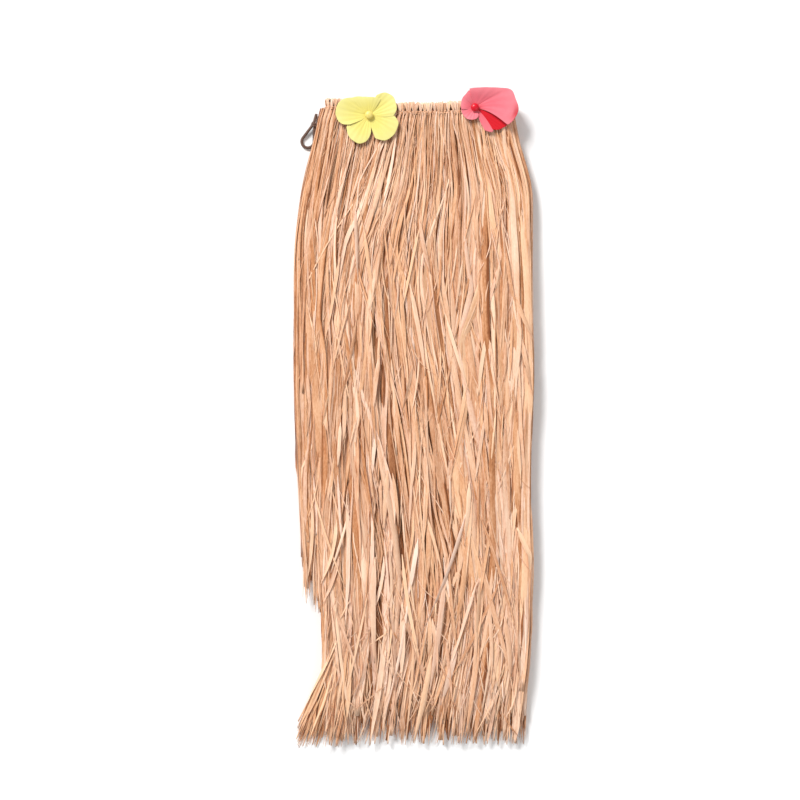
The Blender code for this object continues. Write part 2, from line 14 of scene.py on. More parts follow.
import bpy
import numpy as np
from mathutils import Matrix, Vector

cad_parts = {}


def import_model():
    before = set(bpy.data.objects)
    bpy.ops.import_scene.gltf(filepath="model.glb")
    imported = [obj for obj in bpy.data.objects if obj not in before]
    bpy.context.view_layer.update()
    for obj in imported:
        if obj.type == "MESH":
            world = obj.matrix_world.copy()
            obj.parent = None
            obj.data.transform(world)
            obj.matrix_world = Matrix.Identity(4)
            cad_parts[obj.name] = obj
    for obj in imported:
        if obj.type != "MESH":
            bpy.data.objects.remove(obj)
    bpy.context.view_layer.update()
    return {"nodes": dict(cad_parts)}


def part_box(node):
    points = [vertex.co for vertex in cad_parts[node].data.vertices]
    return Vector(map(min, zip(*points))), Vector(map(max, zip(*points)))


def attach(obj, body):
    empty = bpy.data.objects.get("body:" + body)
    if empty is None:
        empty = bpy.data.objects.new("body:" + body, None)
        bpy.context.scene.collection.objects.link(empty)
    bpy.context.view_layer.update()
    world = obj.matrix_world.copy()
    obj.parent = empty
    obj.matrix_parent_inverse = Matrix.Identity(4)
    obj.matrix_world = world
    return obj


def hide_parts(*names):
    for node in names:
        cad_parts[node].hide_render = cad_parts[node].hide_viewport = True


Triple = tuple[float, float, float]
Colour = Triple
Socket = bpy.types.NodeSocket

LOG = logging.getLogger("grass_skirt")
BODY = "root"
UP = np.array([0.0, 0.0, 1.0])
WAISTWARD = np.array([0.0, 1.0, 0.0])
LOWEST_CORNER = 0.00012  # no corner of a strip lies lower
LOWEST_MIDDLE = 0.0006  # and no loose strip's middle lies lower than this


@dataclass(frozen=True)
class Section:
    """Edges of the folded skirt at one distance down, and the height of its packed layers."""

    down: float
    left: float
    right: float
    stack: float


SECTIONS = (
    Section(down=0.000, left=-0.0827, right=0.0950, stack=0.0140),
    Section(down=0.015, left=-0.0899, right=0.0966, stack=0.0146),
    Section(down=0.043, left=-0.0971, right=0.1030, stack=0.0144),
    Section(down=0.091, left=-0.1082, right=0.1145, stack=0.0148),
    Section(down=0.129, left=-0.1138, right=0.1151, stack=0.0152),
    Section(down=0.207, left=-0.1164, right=0.1161, stack=0.0156),
    Section(down=0.264, left=-0.1167, right=0.1174, stack=0.0156),
    Section(down=0.342, left=-0.1140, right=0.1147, stack=0.0154),
    Section(down=0.474, left=-0.1080, right=0.1147, stack=0.0142),
    Section(down=0.535, left=-0.1070, right=0.1142, stack=0.0130),
    Section(down=0.578, left=-0.1085, right=0.1110, stack=0.0106),
    Section(down=0.602, left=-0.1105, right=0.1098, stack=0.0086),
    Section(down=0.640, left=-0.1130, right=0.1085, stack=0.0062),
)


class Shade(Enum):
    """How pale a strand of raffia is, as the middle and spread of its tone. The deep and low layers are
    darker as painted shade, for the dark gaps between the strands on top.
    """

    DEEP = (0.00, 0.05)
    LOW = (0.19, 0.12)
    SIDE = (0.50, 0.13)
    MIDDLE = (0.49, 0.12)
    SURFACE = (0.62, 0.12)


def ease(share: np.ndarray | float) -> np.ndarray:
    """Return 0 below 0, 1 above 1, and a smooth step between them."""
    share = np.clip(share, 0.0, 1.0)
    return share * share * (3 - 2 * share)


def unit(vectors: np.ndarray) -> np.ndarray:
    """Return the vectors of the last axis at length 1."""
    length = np.linalg.norm(vectors, axis=-1, keepdims=True)
    return vectors / np.maximum(length, 1e-12)


def reached(line: np.ndarray) -> np.ndarray:
    """Return how far along a line each of its points is."""
    return np.concatenate(([0], np.cumsum(np.linalg.norm(np.diff(line, axis=0), axis=1))))


def smoothed(values: np.ndarray, reach: int) -> np.ndarray:
    """Average a row of values over a bell of neighbours.

    Args:
        values: The row.
        reach: How many neighbours count to each side.

    Returns:
        A row of the same length.
    """
    steps = np.arange(-reach, reach + 1)
    bell = np.exp(-0.5 * (steps / (0.5 * reach)) ** 2)
    padded = np.pad(values, reach, mode="edge")
    return np.convolve(padded, bell / bell.sum(), mode="valid")


def highest(values: np.ndarray, reach: int) -> np.ndarray:
    """Return for each value the highest one within reach of it."""
    padded = np.pad(values, reach, mode="edge")
    return np.lib.stride_tricks.sliding_window_view(padded, 2 * reach + 1).max(axis=1)


def between_cells(
    table: np.ndarray, row: np.ndarray, column: np.ndarray, after: np.ndarray, share: np.ndarray
) -> np.ndarray:
    """Read a table between its rows and columns.

    Args:
        table: The table.
        row: Rows with their fractions.
        column: The whole column before each place.
        after: The whole column after it.
        share: How far the place is from the one to the other.

    Returns:
        The values there.
    """
    r = row.astype(int)
    fraction = row - r
    upper = table[r, column] * (1 - share) + table[r, after] * share
    lower = table[r + 1, column] * (1 - share) + table[r + 1, after] * share
    return upper * (1 - fraction) + lower * fraction


def add_vectors(data: bpy.types.Mesh, label: str, values: np.ndarray) -> None:
    """Give each point of a mesh three values that its finish reads.

    Args:
        data: The mesh.
        label: The attribute's name.
        values: Three values for each point.
    """
    layer = data.attributes.new(label, "FLOAT_VECTOR", "POINT")
    layer.data.foreach_set("vector", values.astype(np.float32).ravel())


def link_mesh(name: str, points: np.ndarray, faces: list) -> bpy.types.Object:
    """Make an object from points and faces, shaded smooth.

    Args:
        name: The object's name.
        points: Rows of three values.
        faces: Lists of point numbers.

    Returns:
        The object.
    """
    data = bpy.data.meshes.new(name)
    data.from_pydata(np.asarray(points).reshape(-1, 3).tolist(), [], faces)
    data.shade_smooth()
    obj = bpy.data.objects.new(name, data)
    bpy.context.scene.collection.objects.link(obj)
    return obj


def apply_modifiers(obj: bpy.types.Object) -> None:
    """Apply all of an object's modifiers.

    Args:
        obj: The object.
    """
    bpy.ops.object.select_all(action="DESELECT")
    bpy.context.view_layer.objects.active = obj
    obj.select_set(True)
    for modifier in list(obj.modifiers):
        bpy.ops.object.modifier_apply(modifier=modifier.name)
    obj.select_set(False)


def dress(obj: bpy.types.Object, finish: bpy.types.Material, slot: str, *nodes: str) -> None:
    """Give a piece its finish, attach it to the body and hide the construction's nodes that it stands for.

    Args:
        obj: The piece.
        finish: Its material.
        slot: Not used.
        nodes: The construction's nodes that it stands for.
    """
    obj.data.materials.clear()
    obj.data.materials.append(finish)
    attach(obj, BODY)
    if nodes:
        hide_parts(*nodes)
    LOG.info("%s: %d faces", obj.name, len(obj.data.polygons))


@dataclass
class SkirtForm:
    """The rounded body of packed raffia that every strand lies on."""

    waist_y: float  # where the ends of the waist's top edge are
    reach: float = 0.668  # the form goes on this far down, past the hem
    rows: int = 168
    columns: int = 520
    inset: float = 0.0022  # strands lie outside the form, up to the skirt's outline
    floor_gap: float = 0.0019  # room for the strands of the underside
    belly_share: float = 0.40  # height of the widest place, as a share of the stack
    top_power: float = 5.5  # how square the section is above its widest place
    foot_power: float = 9.0  # and below it
    sag: float = 0.005
    sag_fade: float = 0.150
    notch_edge: float = -0.0872  # nothing but the flaring bunch lies to the left of this, near the hem
    girth: float = field(init=False)
    x_table: np.ndarray = field(init=False)
    z_table: np.ndarray = field(init=False)

    def __post_init__(self) -> None:
        """Work out the form's tables, one row for each section and one column for each turn."""
        self.x_table = np.empty((self.rows, self.columns + 1))
        self.z_table = np.empty((self.rows, self.columns + 1))
        angles = np.linspace(-math.pi / 2, -5 * math.pi / 2, 2881)
        cos, sin = np.cos(angles), np.sin(angles)
        for row, down in enumerate(np.linspace(0.0, self.reach, self.rows)):
            left, right = self.edges(down)
            half = (right - left) / 2 - self.inset
            top = self.stack(down)
            belly = self.belly_share * top
            power = np.where(sin > 0, self.top_power, self.foot_power)
            depth = np.where(sin > 0, top - belly, belly - self.floor_gap)
            xs = (left + right) / 2 + half * np.sign(cos) * np.abs(cos) ** (2 / power)
            zs = belly + depth * np.sign(sin) * np.abs(sin) ** (2 / power)
            along = np.concatenate(([0], np.cumsum(np.hypot(np.diff(xs), np.diff(zs)))))
            even = np.linspace(0, along[-1], self.columns + 1)
            self.x_table[row] = np.interp(even, along, xs)
            self.z_table[row] = np.interp(even, along, zs)
            if row == self.rows // 3:
                self.girth = along[-1]

    def read(self, column: str, down: np.ndarray | float) -> np.ndarray:
        """Read one column of the sections on a smooth curve through their rows.

        Args:
            column: A field of Section.
            down: Where to read it.

        Returns:
            The values there.
        """
        rows = np.array([section.down for section in SECTIONS])
        values = np.array([getattr(section, column) for section in SECTIONS])
        slopes = np.gradient(values, rows)
        down = np.clip(down, rows[0], rows[-1])
        at = np.clip(np.searchsorted(rows, down) - 1, 0, len(rows) - 2)
        span = rows[at + 1] - rows[at]
        t = (down - rows[at]) / span
        low = values[at] * (2 * t**3 - 3 * t**2 + 1) + values[at + 1] * (3 * t**2 - 2 * t**3)
        return low + span * (slopes[at] * (t**3 - 2 * t**2 + t) + slopes[at + 1] * (t**3 - t**2))

    def edges(self, down: np.ndarray | float) -> tuple[np.ndarray, np.ndarray]:
        """Return the left and right edge at a distance down."""
        return self.read("left", down), self.read("right", down)

    def stack(self, down: np.ndarray | float) -> np.ndarray:
        """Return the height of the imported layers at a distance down."""
        return self.read("stack", down)

    def line_y(self, x: np.ndarray, down: np.ndarray) -> np.ndarray:
        """Find the place along Y of what hangs this far down from the sagging waist.

        Args:
            x: Places across.
            down: Places down.

        Returns:
            The places along Y.
        """
        left, right = self.edges(down)
        across = np.clip((x - left) / (right - left), 0.0, 1.0)
        sag = self.sag * 4 * across * (1 - across) * (1 - ease(down / self.sag_fade))
        return self.waist_y - down - sag

    def lookup(self, table: np.ndarray, turn: np.ndarray, down: np.ndarray) -> np.ndarray:
        """Read a table between its rows and columns.

        Args:
            table: The form's x_table or z_table.
            turn: Places round the section, in turns.
            down: Places down.

        Returns:
            The values there.
        """
        row = np.clip(down / self.reach * (self.rows - 1), 0, self.rows - 1.001)
        column = np.mod(turn, 1.0) * self.columns
        whole = np.minimum(column.astype(int), self.columns - 1)
        return between_cells(table, row, whole, whole + 1, column - whole)

    def points(self, turn: np.ndarray, down: np.ndarray) -> tuple[np.ndarray, np.ndarray]:
        """Find points on the form, and the form's outward directions there.

        Args:
            turn: Places round the section, in turns.
            down: Places down.

        Returns:
            The points and the unit directions, each with three values in the last axis.
        """
        x = self.lookup(self.x_table, turn, down)
        z = self.lookup(self.z_table, turn, down)
        step = 1.5 / self.columns
        across_x, across_z = (
            self.lookup(table, turn + step, down) - self.lookup(table, turn - step, down)
            for table in (self.x_table, self.z_table)
        )
        places = np.stack([x, self.line_y(x, down), z], axis=-1)
        outward = unit(np.stack([-across_z, np.zeros_like(x), across_x], axis=-1))
        return places, outward


class Ribbons:
    """Thin strips of raffia, gathered as arrays and made into one mesh."""

    def __init__(self) -> None:
        """Start with no strips."""
        self.corners: list[np.ndarray] = []
        self.fibre: list[np.ndarray] = []
        self.shade: list[np.ndarray] = []
        self.counts: list[int] = []

    def add(
        self,
        line: np.ndarray,
        outward: np.ndarray,
        width: np.ndarray,
        roll: np.ndarray,
        crease: np.ndarray,
        thickness: float,
        tone: float | np.ndarray,
        warmth: float,
        start: float,
        rims: np.ndarray | None = None,
    ) -> None:
        """Add one strip along a line: two edges, a crest between them and the same below.

        Args:
            line: Middle points of the strip.
            outward: The side that the strip shows, for all of it or at each point.
            width: Width at each point.
            roll: Turn about the strip's own run at each point, in radians.
            crease: Height of the middle above the edges at each point.
            thickness: Thickness of the middle.
            tone: 0 for the darkest raffia and 1 for the palest, for the whole strip or each point.
            warmth: 0 for grey straw and 1 for orange straw.
            start: Where the pattern of the fibre starts, different for each strip.
            rims: How much paler, or darker below 0, its left and right edge are at each point, as painted
                highlight and painted shade.
        """
        run = unit(np.gradient(line, axis=0))
        side = unit(np.cross(outward, run))
        face = np.cross(run, side)
        cos, sin = np.cos(roll)[:, None], np.sin(roll)[:, None]
        side, face = side * cos + face * sin, face * cos - side * sin
        half = (width / 2)[:, None]
        crest = line + face * crease[:, None]
        wall = face * (thickness / 2)
        ring = np.stack([line - side * half, crest + wall, line + side * half, crest - wall], axis=1)
        ring[:, :, 2] = np.maximum(ring[:, :, 2], LOWEST_CORNER)
        along = reached(line) + start
        across = np.stack([-width / 2, 0 * width, width / 2, 0 * width], axis=1) + 7 * start
        fibre = [across, np.repeat(along[:, None], 4, axis=1), np.full_like(across, start)]
        edge = np.zeros((len(line), 4))
        # without rims, both edges get a painted highlight
        edge[:, 0::2] = 0.5 if rims is None else rims
        tones = np.broadcast_to(np.asarray(tone)[..., None], edge.shape)
        self.corners.append(ring.reshape(-1, 3))
        self.fibre.append(np.stack(fibre, axis=-1).reshape(-1, 3))
        self.shade.append(np.stack([tones, np.full_like(edge, warmth), edge], axis=-1).reshape(-1, 3))
        self.counts.append(len(line))

    def make(self, name: str) -> bpy.types.Object:
        """Make the strips into one object, and report it.

        Args:
            name: The object's name.

        Returns:
            The object, with the attributes "fibre" and "shade" on its points.
        """
        faces, base = [], 0
        for count in self.counts:
            ring = base + 4 * np.arange(count - 1)[:, None]
            for k in range(4):
                after = (k + 1) % 4
                corners = [ring + k, ring + 4 + k, ring + 4 + after, ring + after]
                faces.append(np.concatenate(corners, axis=1))
            last = base + 4 * (count - 1)
            faces.append(np.array([[base, base + 1, base + 2, base + 3]]))
            faces.append(np.array([[last + 3, last + 2, last + 1, last]]))
            base += 4 * count
        obj = link_mesh(name, np.concatenate(self.corners), np.concatenate(faces).tolist())
        add_vectors(obj.data, "fibre", np.concatenate(self.fibre))
        add_vectors(obj.data, "shade", np.concatenate(self.shade))
        self.sharpen_edges(obj.data)
        LOG.info("%s: %d strips", name, len(self.counts))
        return obj

    def sharpen_edges(self, data: bpy.types.Mesh) -> None:
        """Mark the strips' long outer edges as sharp: they join even corners of a ring to the next one's.

        Args:
            data: The strips' mesh.
        """
        ends = np.empty(2 * len(data.edges), dtype=np.int32)
        data.edges.foreach_get("vertices", ends)
        kinds = ends.reshape(-1, 2) % 4
        sharp = (kinds[:, 0] == kinds[:, 1]) & (kinds[:, 0] % 2 == 0)
        data.attributes.new("sharp_edge", "BOOLEAN", "EDGE").data.foreach_set("value", sharp)


@dataclass
class Bed:
    """Heights of what has been laid on the form so far, so that each strip lies on the ones before it."""

    form: SkirtForm
    cells: int = 560
    step: float = 0.004
    most_stretch: float = 1.6  # a thin pile is stretched by this at most
    rows: int = field(init=False)
    height: np.ndarray = field(init=False)
    scale: np.ndarray = field(init=False)

    def __post_init__(self) -> None:
        """Start with nothing on the form."""
        self.rows = int(self.form.reach / self.step) + 2
        self.height = np.zeros((self.rows, self.cells))
        self.scale = np.ones((self.rows, self.cells))

    def sample(self, values: np.ndarray, turn: np.ndarray, down: np.ndarray) -> np.ndarray:
        """Read a field between its rows and cells.

        Args:
            values: The bed's height or scale, or what is worked out from them.
            turn: Places round the form.
            down: Places down.

        Returns:
            The values there.
        """
        row = np.clip(down / self.step, 0, self.rows - 1.001)
        cell = np.mod(turn, 1.0) * self.cells
        whole = cell.astype(int) % self.cells
        return between_cells(values, row, whole, (whole + 1) % self.cells, cell - np.floor(cell))

    def lay(
        self, turn: np.ndarray, down: np.ndarray, width: np.ndarray, thickness: np.ndarray
    ) -> np.ndarray:
        """Lay one strip down and remember it.

        Args:
            turn: The strip's places round the form, one for each row of cells that it crosses.
            down: Its places down.
            width: Its widths.
            thickness: How much it adds.

        Returns:
            How far above the form the strip lies at each place.
        """
        shares = np.linspace(-0.5, 0.5, 5)
        spots = turn[:, None] + shares * width[:, None] / self.form.girth
        rows = np.clip(np.rint(down / self.step).astype(int), 0, self.rows - 1)
        cells = np.mod(np.rint(spots * self.cells).astype(int), self.cells)
        under = np.sort(self.height[rows[:, None], cells], axis=1)
        rise = smoothed(0.4 * under[:, -1] + 0.6 * under[:, -2], 4)
        added = (rise + thickness)[:, None] * np.ones_like(under)
        self.height[rows[:, None], cells] = np.maximum(self.height[rows[:, None], cells], added)
        return rise

    def settle(self, room: np.ndarray) -> None:
        """Work out how much the pile is pressed down so that it fills the room over the form.

        Args:
            room: The room's height at each row and cell.
        """
        reach = 12
        pile = np.apply_along_axis(smoothed, 0, self.height, 10)
        wrapped = np.concatenate([pile[:, -reach:], pile, pile[:, :reach]], axis=1)
        pile = np.apply_along_axis(smoothed, 1, wrapped, reach)[:, reach:-reach]
        self.scale = np.minimum(room / np.maximum(pile * 1.12, 0.0004), self.most_stretch)


@dataclass(frozen=True)
class Lean:
    """A drift of strands to one side: how far, where across the front, and from where to where down."""

    shift: float
    across: float
    reach: float
    start: float
    end: float


LEANS = (
    Lean(shift=-0.036, across=0.37, reach=0.17, start=0.015, end=0.190),
    Lean(shift=-0.010, across=0.62, reach=0.12, start=0.020, end=0.180),
    Lean(shift=0.014, across=0.84, reach=0.12, start=0.020, end=0.170),
    Lean(shift=0.044, across=0.60, reach=0.17, start=0.175, end=0.450),
    Lean(shift=-0.018, across=0.26, reach=0.12, start=0.230, end=0.450),
    Lean(shift=-0.022, across=0.47, reach=0.12, start=0.440, end=0.620),
    Lean(shift=0.018, across=0.24, reach=0.10, start=0.470, end=0.620),
    Lean(shift=-0.020, across=0.76, reach=0.12, start=0.470, end=0.620),
)


@dataclass(frozen=True)
class StrandKind:
    """How one batch of strands is cut and lies."""

    count: int
    turns: tuple[float, float]
    width: float
    spread: float
    widest: float
    shade: Shade
    slope: float
    steep_share: float = 0.0
    steep: float = 0.0
    lean: float = 0.0
    end: tuple[float, float] = (0.572, 0.630)
    short_share: float = 0.0
    flip_share: float = 0.15
    split_share: float = 0.22
    roll: float = 0.28
    pinch: float = 0.30
    weave: float = 0.0022
    # strength of the painted highlight and painted shade along its edges
    rim: float = 1.0
    mesh_step: int = 3


@dataclass(frozen=True)
class StrayKind:
    """How one lot of stray strips on the front is cut and lies."""

    count: int
    length: tuple[float, float]
    start: tuple[float, float]
    width: tuple[float, float]
    slant: float
    bend: float
    tone: float


@dataclass
class Laid:
    """One strip that has been laid, before its mesh is made."""

    turn: np.ndarray
    down: np.ndarray
    width: np.ndarray
    roll: np.ndarray
    rise: np.ndarray
    dive: np.ndarray
    crease: np.ndarray
    tone: float
    warmth: float
    # strength of the painted highlight and painted shade along its edges
    rim: float


@dataclass(frozen=True)
class LooseKind:
    """The look of one lot of loose strips round the notch and the hem's left corner."""

    tone: tuple[float, float]  # its middle and spread
    warmth: tuple[float, float]  # its lowest and highest value
    crease: float
    outward: Triple = (0.0, 0.0, 1.0)


FRONT = (0.266, 0.734)  # the turns that the front layer takes up
FOLDS = ((0.228, 0.300), (0.700, 0.772))  # and those of the folds at its left and right
BATCHES = {
    "raffia_sides": (
        StrandKind(120, (0.03, 0.97), 0.0042, 0.3, 0.007, Shade.SIDE, 0.01, flip_share=0.0, roll=0.05,
                   weave=0.0, rim=0.2, mesh_step=5),
        *(StrandKind(66, fold, 0.0026, 0.42, 0.006, Shade.MIDDLE, 0.030, pinch=0.6, weave=0.0009, rim=0.6)
          for fold in FOLDS),
    ),
    "raffia_deep": (
        StrandKind(120, FRONT, 0.0044, 0.35, 0.0085, Shade.DEEP, 0.04, 0.1, 0.10, lean=0.3, weave=0.0006),
        StrandKind(90, FRONT, 0.0040, 0.40, 0.0090, Shade.LOW, 0.05, 0.12, 0.12, lean=0.5),
    ),
    "raffia_middle": (
        StrandKind(120, FRONT, 0.0046, 0.42, 0.0105, Shade.MIDDLE, 0.055, 0.16, 0.14, lean=0.8,
                   short_share=0.10),
        StrandKind(60, FRONT, 0.0016, 0.40, 0.0032, Shade.MIDDLE, 0.070, 0.25, 0.19, lean=0.9,
                   short_share=0.10),
    ),
    "raffia_surface": (
        StrandKind(112, FRONT, 0.0050, 0.42, 0.0115, Shade.SURFACE, 0.060, 0.22, 0.16, lean=1.0,
                   short_share=0.18),
        StrandKind(90, FRONT, 0.0014, 0.42, 0.0028, Shade.SURFACE, 0.080, 0.3, 0.22, lean=1.0,
                   short_share=0.16),
    ),
}
STRAYS = (
    StrayKind(84, (0.03, 0.10), (0.10, 0.38), (0.0016, 0.0046), slant=0.14, bend=0.10, tone=0.60),
    StrayKind(70, (0.05, 0.14), (0.36, 0.54), (0.0018, 0.0056), slant=0.17, bend=0.12, tone=0.70),
    StrayKind(240, (0.02, 0.07), (0.08, 0.48), (0.0003, 0.0013), slant=0.18, bend=0.15, tone=0.60),
    StrayKind(330, (0.015, 0.055), (0.46, 0.61), (0.0003, 0.0014), slant=0.28, bend=0.22, tone=0.66),
)
FLARING = LooseKind(tone=(0.60, 0.16), warmth=(0.5, 1.4), crease=0.15)
HANGING = LooseKind(tone=(0.72, 0.12), warmth=(0.3, 1.2), crease=0.15)
SIDEWAYS = LooseKind(tone=(0.44, 0.15), warmth=(0.0, 1.0), crease=0.12, outward=(-1.0, 0.0, 0.25))


def shares(down: np.ndarray) -> np.ndarray:
    """Return how far along a strip each of its places down is, from 0 to 1."""
    return (down - down[0]) / (down[-1] - down[0])


def held(turn: np.ndarray, limits: tuple[float, float], margin: float) -> np.ndarray:
    """Hold a strand between two limits, where it comes to a soft stop.

    Args:
        turn: Its places round the form.
        limits: The lowest and highest turn.
        margin: How far before a limit it starts to slow.

    Returns:
        Its places, held.
    """
    low, high = limits[0] + margin, limits[1] - margin
    turn = np.where(turn < low, low - margin * np.tanh((low - turn) / margin), turn)
    return np.where(turn > high, high + margin * np.tanh((turn - high) / margin), turn)


def tapered(part: np.ndarray, first: float, swell: float, fade: float, drop: float) -> np.ndarray:
    """Work out how a strip widens at its start and narrows towards its end.

    Args:
        part: How far along the strip each point is, from 0 to 1.
        first: Its width at the start, as a share of the full width.
        swell: Where it has reached the full width.
        fade: Where it starts to narrow.
        drop: How much of the full width it has lost at its end.

    Returns:
        Its width at each point, as a share of the full width.
    """
    return (first + (1 - first) * ease(part / swell)) * (1 - drop * ease((part - fade) / (1 - fade)))


@dataclass
class Fringe:
    """All the skirt's strands: the front layer, the sides and underside, the hem and stray fibres."""

    form: SkirtForm
    bed: Bed
    chance: np.random.Generator
    thin: float = 0.00028  # thickness of a loose ribbon
    pinch_thick: float = 0.0009  # what a pinched ribbon adds to the pile
    pinch_start: float = 0.03
    pinch_run: float = 0.20
    left_width: float = 0.78  # the left half is of narrower ribbons, by this factor
    left_dusk: float = 0.13  # painted shade: the ribbons near the left edge are darker, by this much of the tone
    hem_painted_light: float = 0.12  # and all are paler near the hem, as painted light
    widest_flipped: float = 0.0036
    narrowest_split: float = 0.0024
    narrowest_split_twice: float = 0.0045
    batches: dict[str, list[Laid]] = field(default_factory=dict)
    pieces: list[bpy.types.Object] = field(default_factory=list)

    def drift(self, down: np.ndarray, size: float) -> np.ndarray:
        """Work out a strand's own straight runs and kinks, in metres to the side.

        Args:
            down: Places down.
            size: How steep its runs are.

        Returns:
            Its shift at each place.
        """
        kinks = np.cumsum(self.chance.uniform(0.025, 0.12, 16))
        slopes = self.chance.normal(0, size, 17)
        slope = smoothed(slopes[np.searchsorted(kinks, down)], 3)
        shift = np.cumsum(slope) * self.bed.step * ease(down / 0.05)
        return shift - 0.5 * shift[-1] * shares(down)

    def dives(self, down: np.ndarray) -> np.ndarray:
        """Work out how deep a strand dips under its neighbours.

        Args:
            down: Places down.

        Returns:
            Its depth at each place, from 0 to 1: it comes up for short runs and goes under again.
        """
        knots = np.arange(-0.1, 0.8, self.chance.uniform(0.024, 0.055)) + self.chance.uniform(0, 0.05)
        depths = self.chance.uniform(0, 1, len(knots)) ** 1.4
        return smoothed(np.interp(down, knots, depths), 3) * ease((down - 0.02) / 0.05)

    def lean_shift(self, seat: float, down: np.ndarray) -> np.ndarray:
        """Work out the drift that strands of one part of the front share, in metres.

        Args:
            seat: The strand's place round the form at the waist, in turns.
            down: Places down.

        Returns:
            The shift at each place.
        """
        across = (seat - FRONT[0]) / (FRONT[1] - FRONT[0])
        shift = np.zeros_like(down)
        for lean in LEANS:
            bell = math.exp(-(((across - lean.across) / lean.reach) ** 2))
            part = np.clip((down - lean.start) / (lean.end - lean.start), 0, 1)
            shift += lean.shift * bell * (0.7 * part + 0.3 * ease(part))
        return shift

    def notch_end(self, turn: np.ndarray, down: np.ndarray, early: float = 0.0) -> int:
        """Find where a strand at the left edge ends early, because its bunch is shorter.

        Args:
            turn: The strand's places round the form.
            down: Its places down.
            early: How much further up the deeper strands end.

        Returns:
            How many of its places stay.
        """
        outermost, gap_edge = -0.1190, -0.0948  # only a few strips hang to the left of the gap's edge
        x = self.form.lookup(self.form.x_table, turn, down)
        first = 0.484 - early - abs(self.chance.normal(0, 0.014))
        edge = outermost + (self.form.notch_edge - outermost) * ease((down - first) / 0.026)
        gap = down > 0.450 - 0.5 * early + self.chance.normal(0, 0.014)
        edge = np.where(gap, np.maximum(edge, gap_edge), edge)
        outside = np.flatnonzero((x < edge + self.chance.normal(0, 0.0010)) & (down > 0.41))
        return int(outside[0]) if len(outside) else len(down)

    def widths(self, kind: StrandKind, seat: float, down: np.ndarray) -> tuple[float, np.ndarray]:
        """Work out how wide a strand is: pinched under the waist and narrower at the hem.

        Args:
            kind: How it is cut.
            seat: Its place round the form at the waist, in turns.
            down: Places down.

        Returns:
            Its full width, and its width at each place.
        """
        usual = kind.width * (self.left_width + (1 - self.left_width) * float(ease((seat - 0.36) / 0.24)))
        full = float(np.clip(usual * np.exp(self.chance.normal(0, kind.spread)), 0.0007, kind.widest))
        pinch = kind.pinch + (1 - kind.pinch) * ease((down - self.pinch_start) / self.pinch_run)
        swell = 1 + 0.10 * np.sin(down * self.chance.uniform(20, 60) + seat * 999)
        return full, full * pinch * swell * (1 - 0.35 * ease((down - 0.42) / 0.2))

    def strand(self, batch: list[Laid], kind: StrandKind, seat: float) -> None:
        """Lay one strand, or the two or three strips that it has split into.

        Args:
            batch: Where its strips go.
            kind: How it is cut and lies.
            seat: Its place round the form at the waist, in turns.
        """
        chance, girth = self.chance, self.form.girth
        first = chance.uniform(0.0105, 0.0125)
        last = chance.uniform(*kind.end)
        square = chance.random() < kind.short_share
        if square:
            last = chance.uniform(0.16, 0.54)
        down = np.arange(first, last, self.bed.step)
        size = kind.steep if chance.random() < kind.steep_share else kind.slope
        own = kind.lean * chance.uniform(0.6, 1.3)
        shift = self.drift(down, size) + own * self.lean_shift(seat, down + chance.normal(0, 0.022))
        turn = held(seat + shift / girth, kind.turns, chance.uniform(0.003, 0.024))
        full, width = self.widths(kind, seat, down)
        strips = 1
        if full > self.narrowest_split and chance.random() < kind.split_share:
            strips = 2 + int(full > self.narrowest_split_twice)
        parting = chance.uniform(0.08, 0.45)
        tone = float(np.clip(chance.normal(*kind.shade.value), 0.02, 0.98))
        warmth = float(chance.random())
        early = 0.0 if kind.shade in (Shade.MIDDLE, Shade.SURFACE) else 0.020
        for strip in range(strips):
            offset = (strip - (strips - 1) / 2) / strips
            opening = chance.uniform(0.0, 0.07) * offset * np.maximum(down - parting, 0)
            own_turn = turn + (offset * width * 1.06 + opening) / girth
            stay = self.notch_end(own_turn, down, early)
            if stay < 12:
                continue
            rows = (own_turn[:stay], down[:stay], width[:stay] / strips)
            self.strip(batch, kind, rows, tone + chance.normal(0, 0.09), warmth, square)

    def strip(
        self,
        batch: list[Laid],
        kind: StrandKind,
        rows: tuple[np.ndarray, np.ndarray, np.ndarray],
        tone: float,
        warmth: float,
        square: bool,
    ) -> None:
        """Lay one strip on the bed.

        Args:
            batch: Where it goes.
            kind: How it lies.
            rows: Its places round the form, its places down and its widths.
            tone: How pale it is.
            warmth: How orange it is.
            square: Whether its end is cut straight.
        """
        chance = self.chance
        turn, down, width = rows
        pinched = 1 - ease((down - self.pinch_start) / self.pinch_run)
        thickness = self.thin + (self.pinch_thick - self.thin) * pinched * (kind.pinch < 0.9)
        waves = math.tau * down / chance.uniform(0.15, 0.5) + chance.uniform(0, 6)
        roll = kind.roll * chance.normal() * np.sin(waves) + 0.6 * kind.roll * chance.normal()
        if chance.random() < kind.flip_share and width.max() < self.widest_flipped:
            roll = roll + math.pi * ease((down - chance.uniform(0.1, 0.55)) / chance.uniform(0.03, 0.06))
        rise = self.bed.lay(turn, down, width, 0.8 * thickness + 0.03 * width)
        dive = kind.weave * self.dives(down)
        if chance.random() < 0.8:
            taper = 0.35 if square else 0.8
            width = width * (1 - taper * ease((down - down[-1] + 0.02) / 0.02))
        crease = width * (0.15 * chance.normal() + 0.30 * pinched)
        keep = np.unique(np.append(np.arange(0, len(down), kind.mesh_step), len(down) - 1))
        parts = [values[keep] for values in (turn, down, width, roll, rise, dive, crease)]
        batch.append(Laid(*parts, tone=tone, warmth=warmth, rim=kind.rim))

    def lay_batch(self, name: str, kinds: tuple[StrandKind, ...]) -> None:
        """Lay the batches of strands that share one piece.

        Args:
            name: The piece's name.
            kinds: The batches, the deepest first.
        """
        batch = self.batches.setdefault(name, [])
        for kind in kinds:
            unevenness = self.chance.uniform(-1, 1, kind.count) * 0.6 / kind.count
            for seat in self.chance.permutation(np.linspace(*kind.turns, kind.count) + unevenness):
                self.strand(batch, kind, float(np.clip(seat, *kind.turns)))

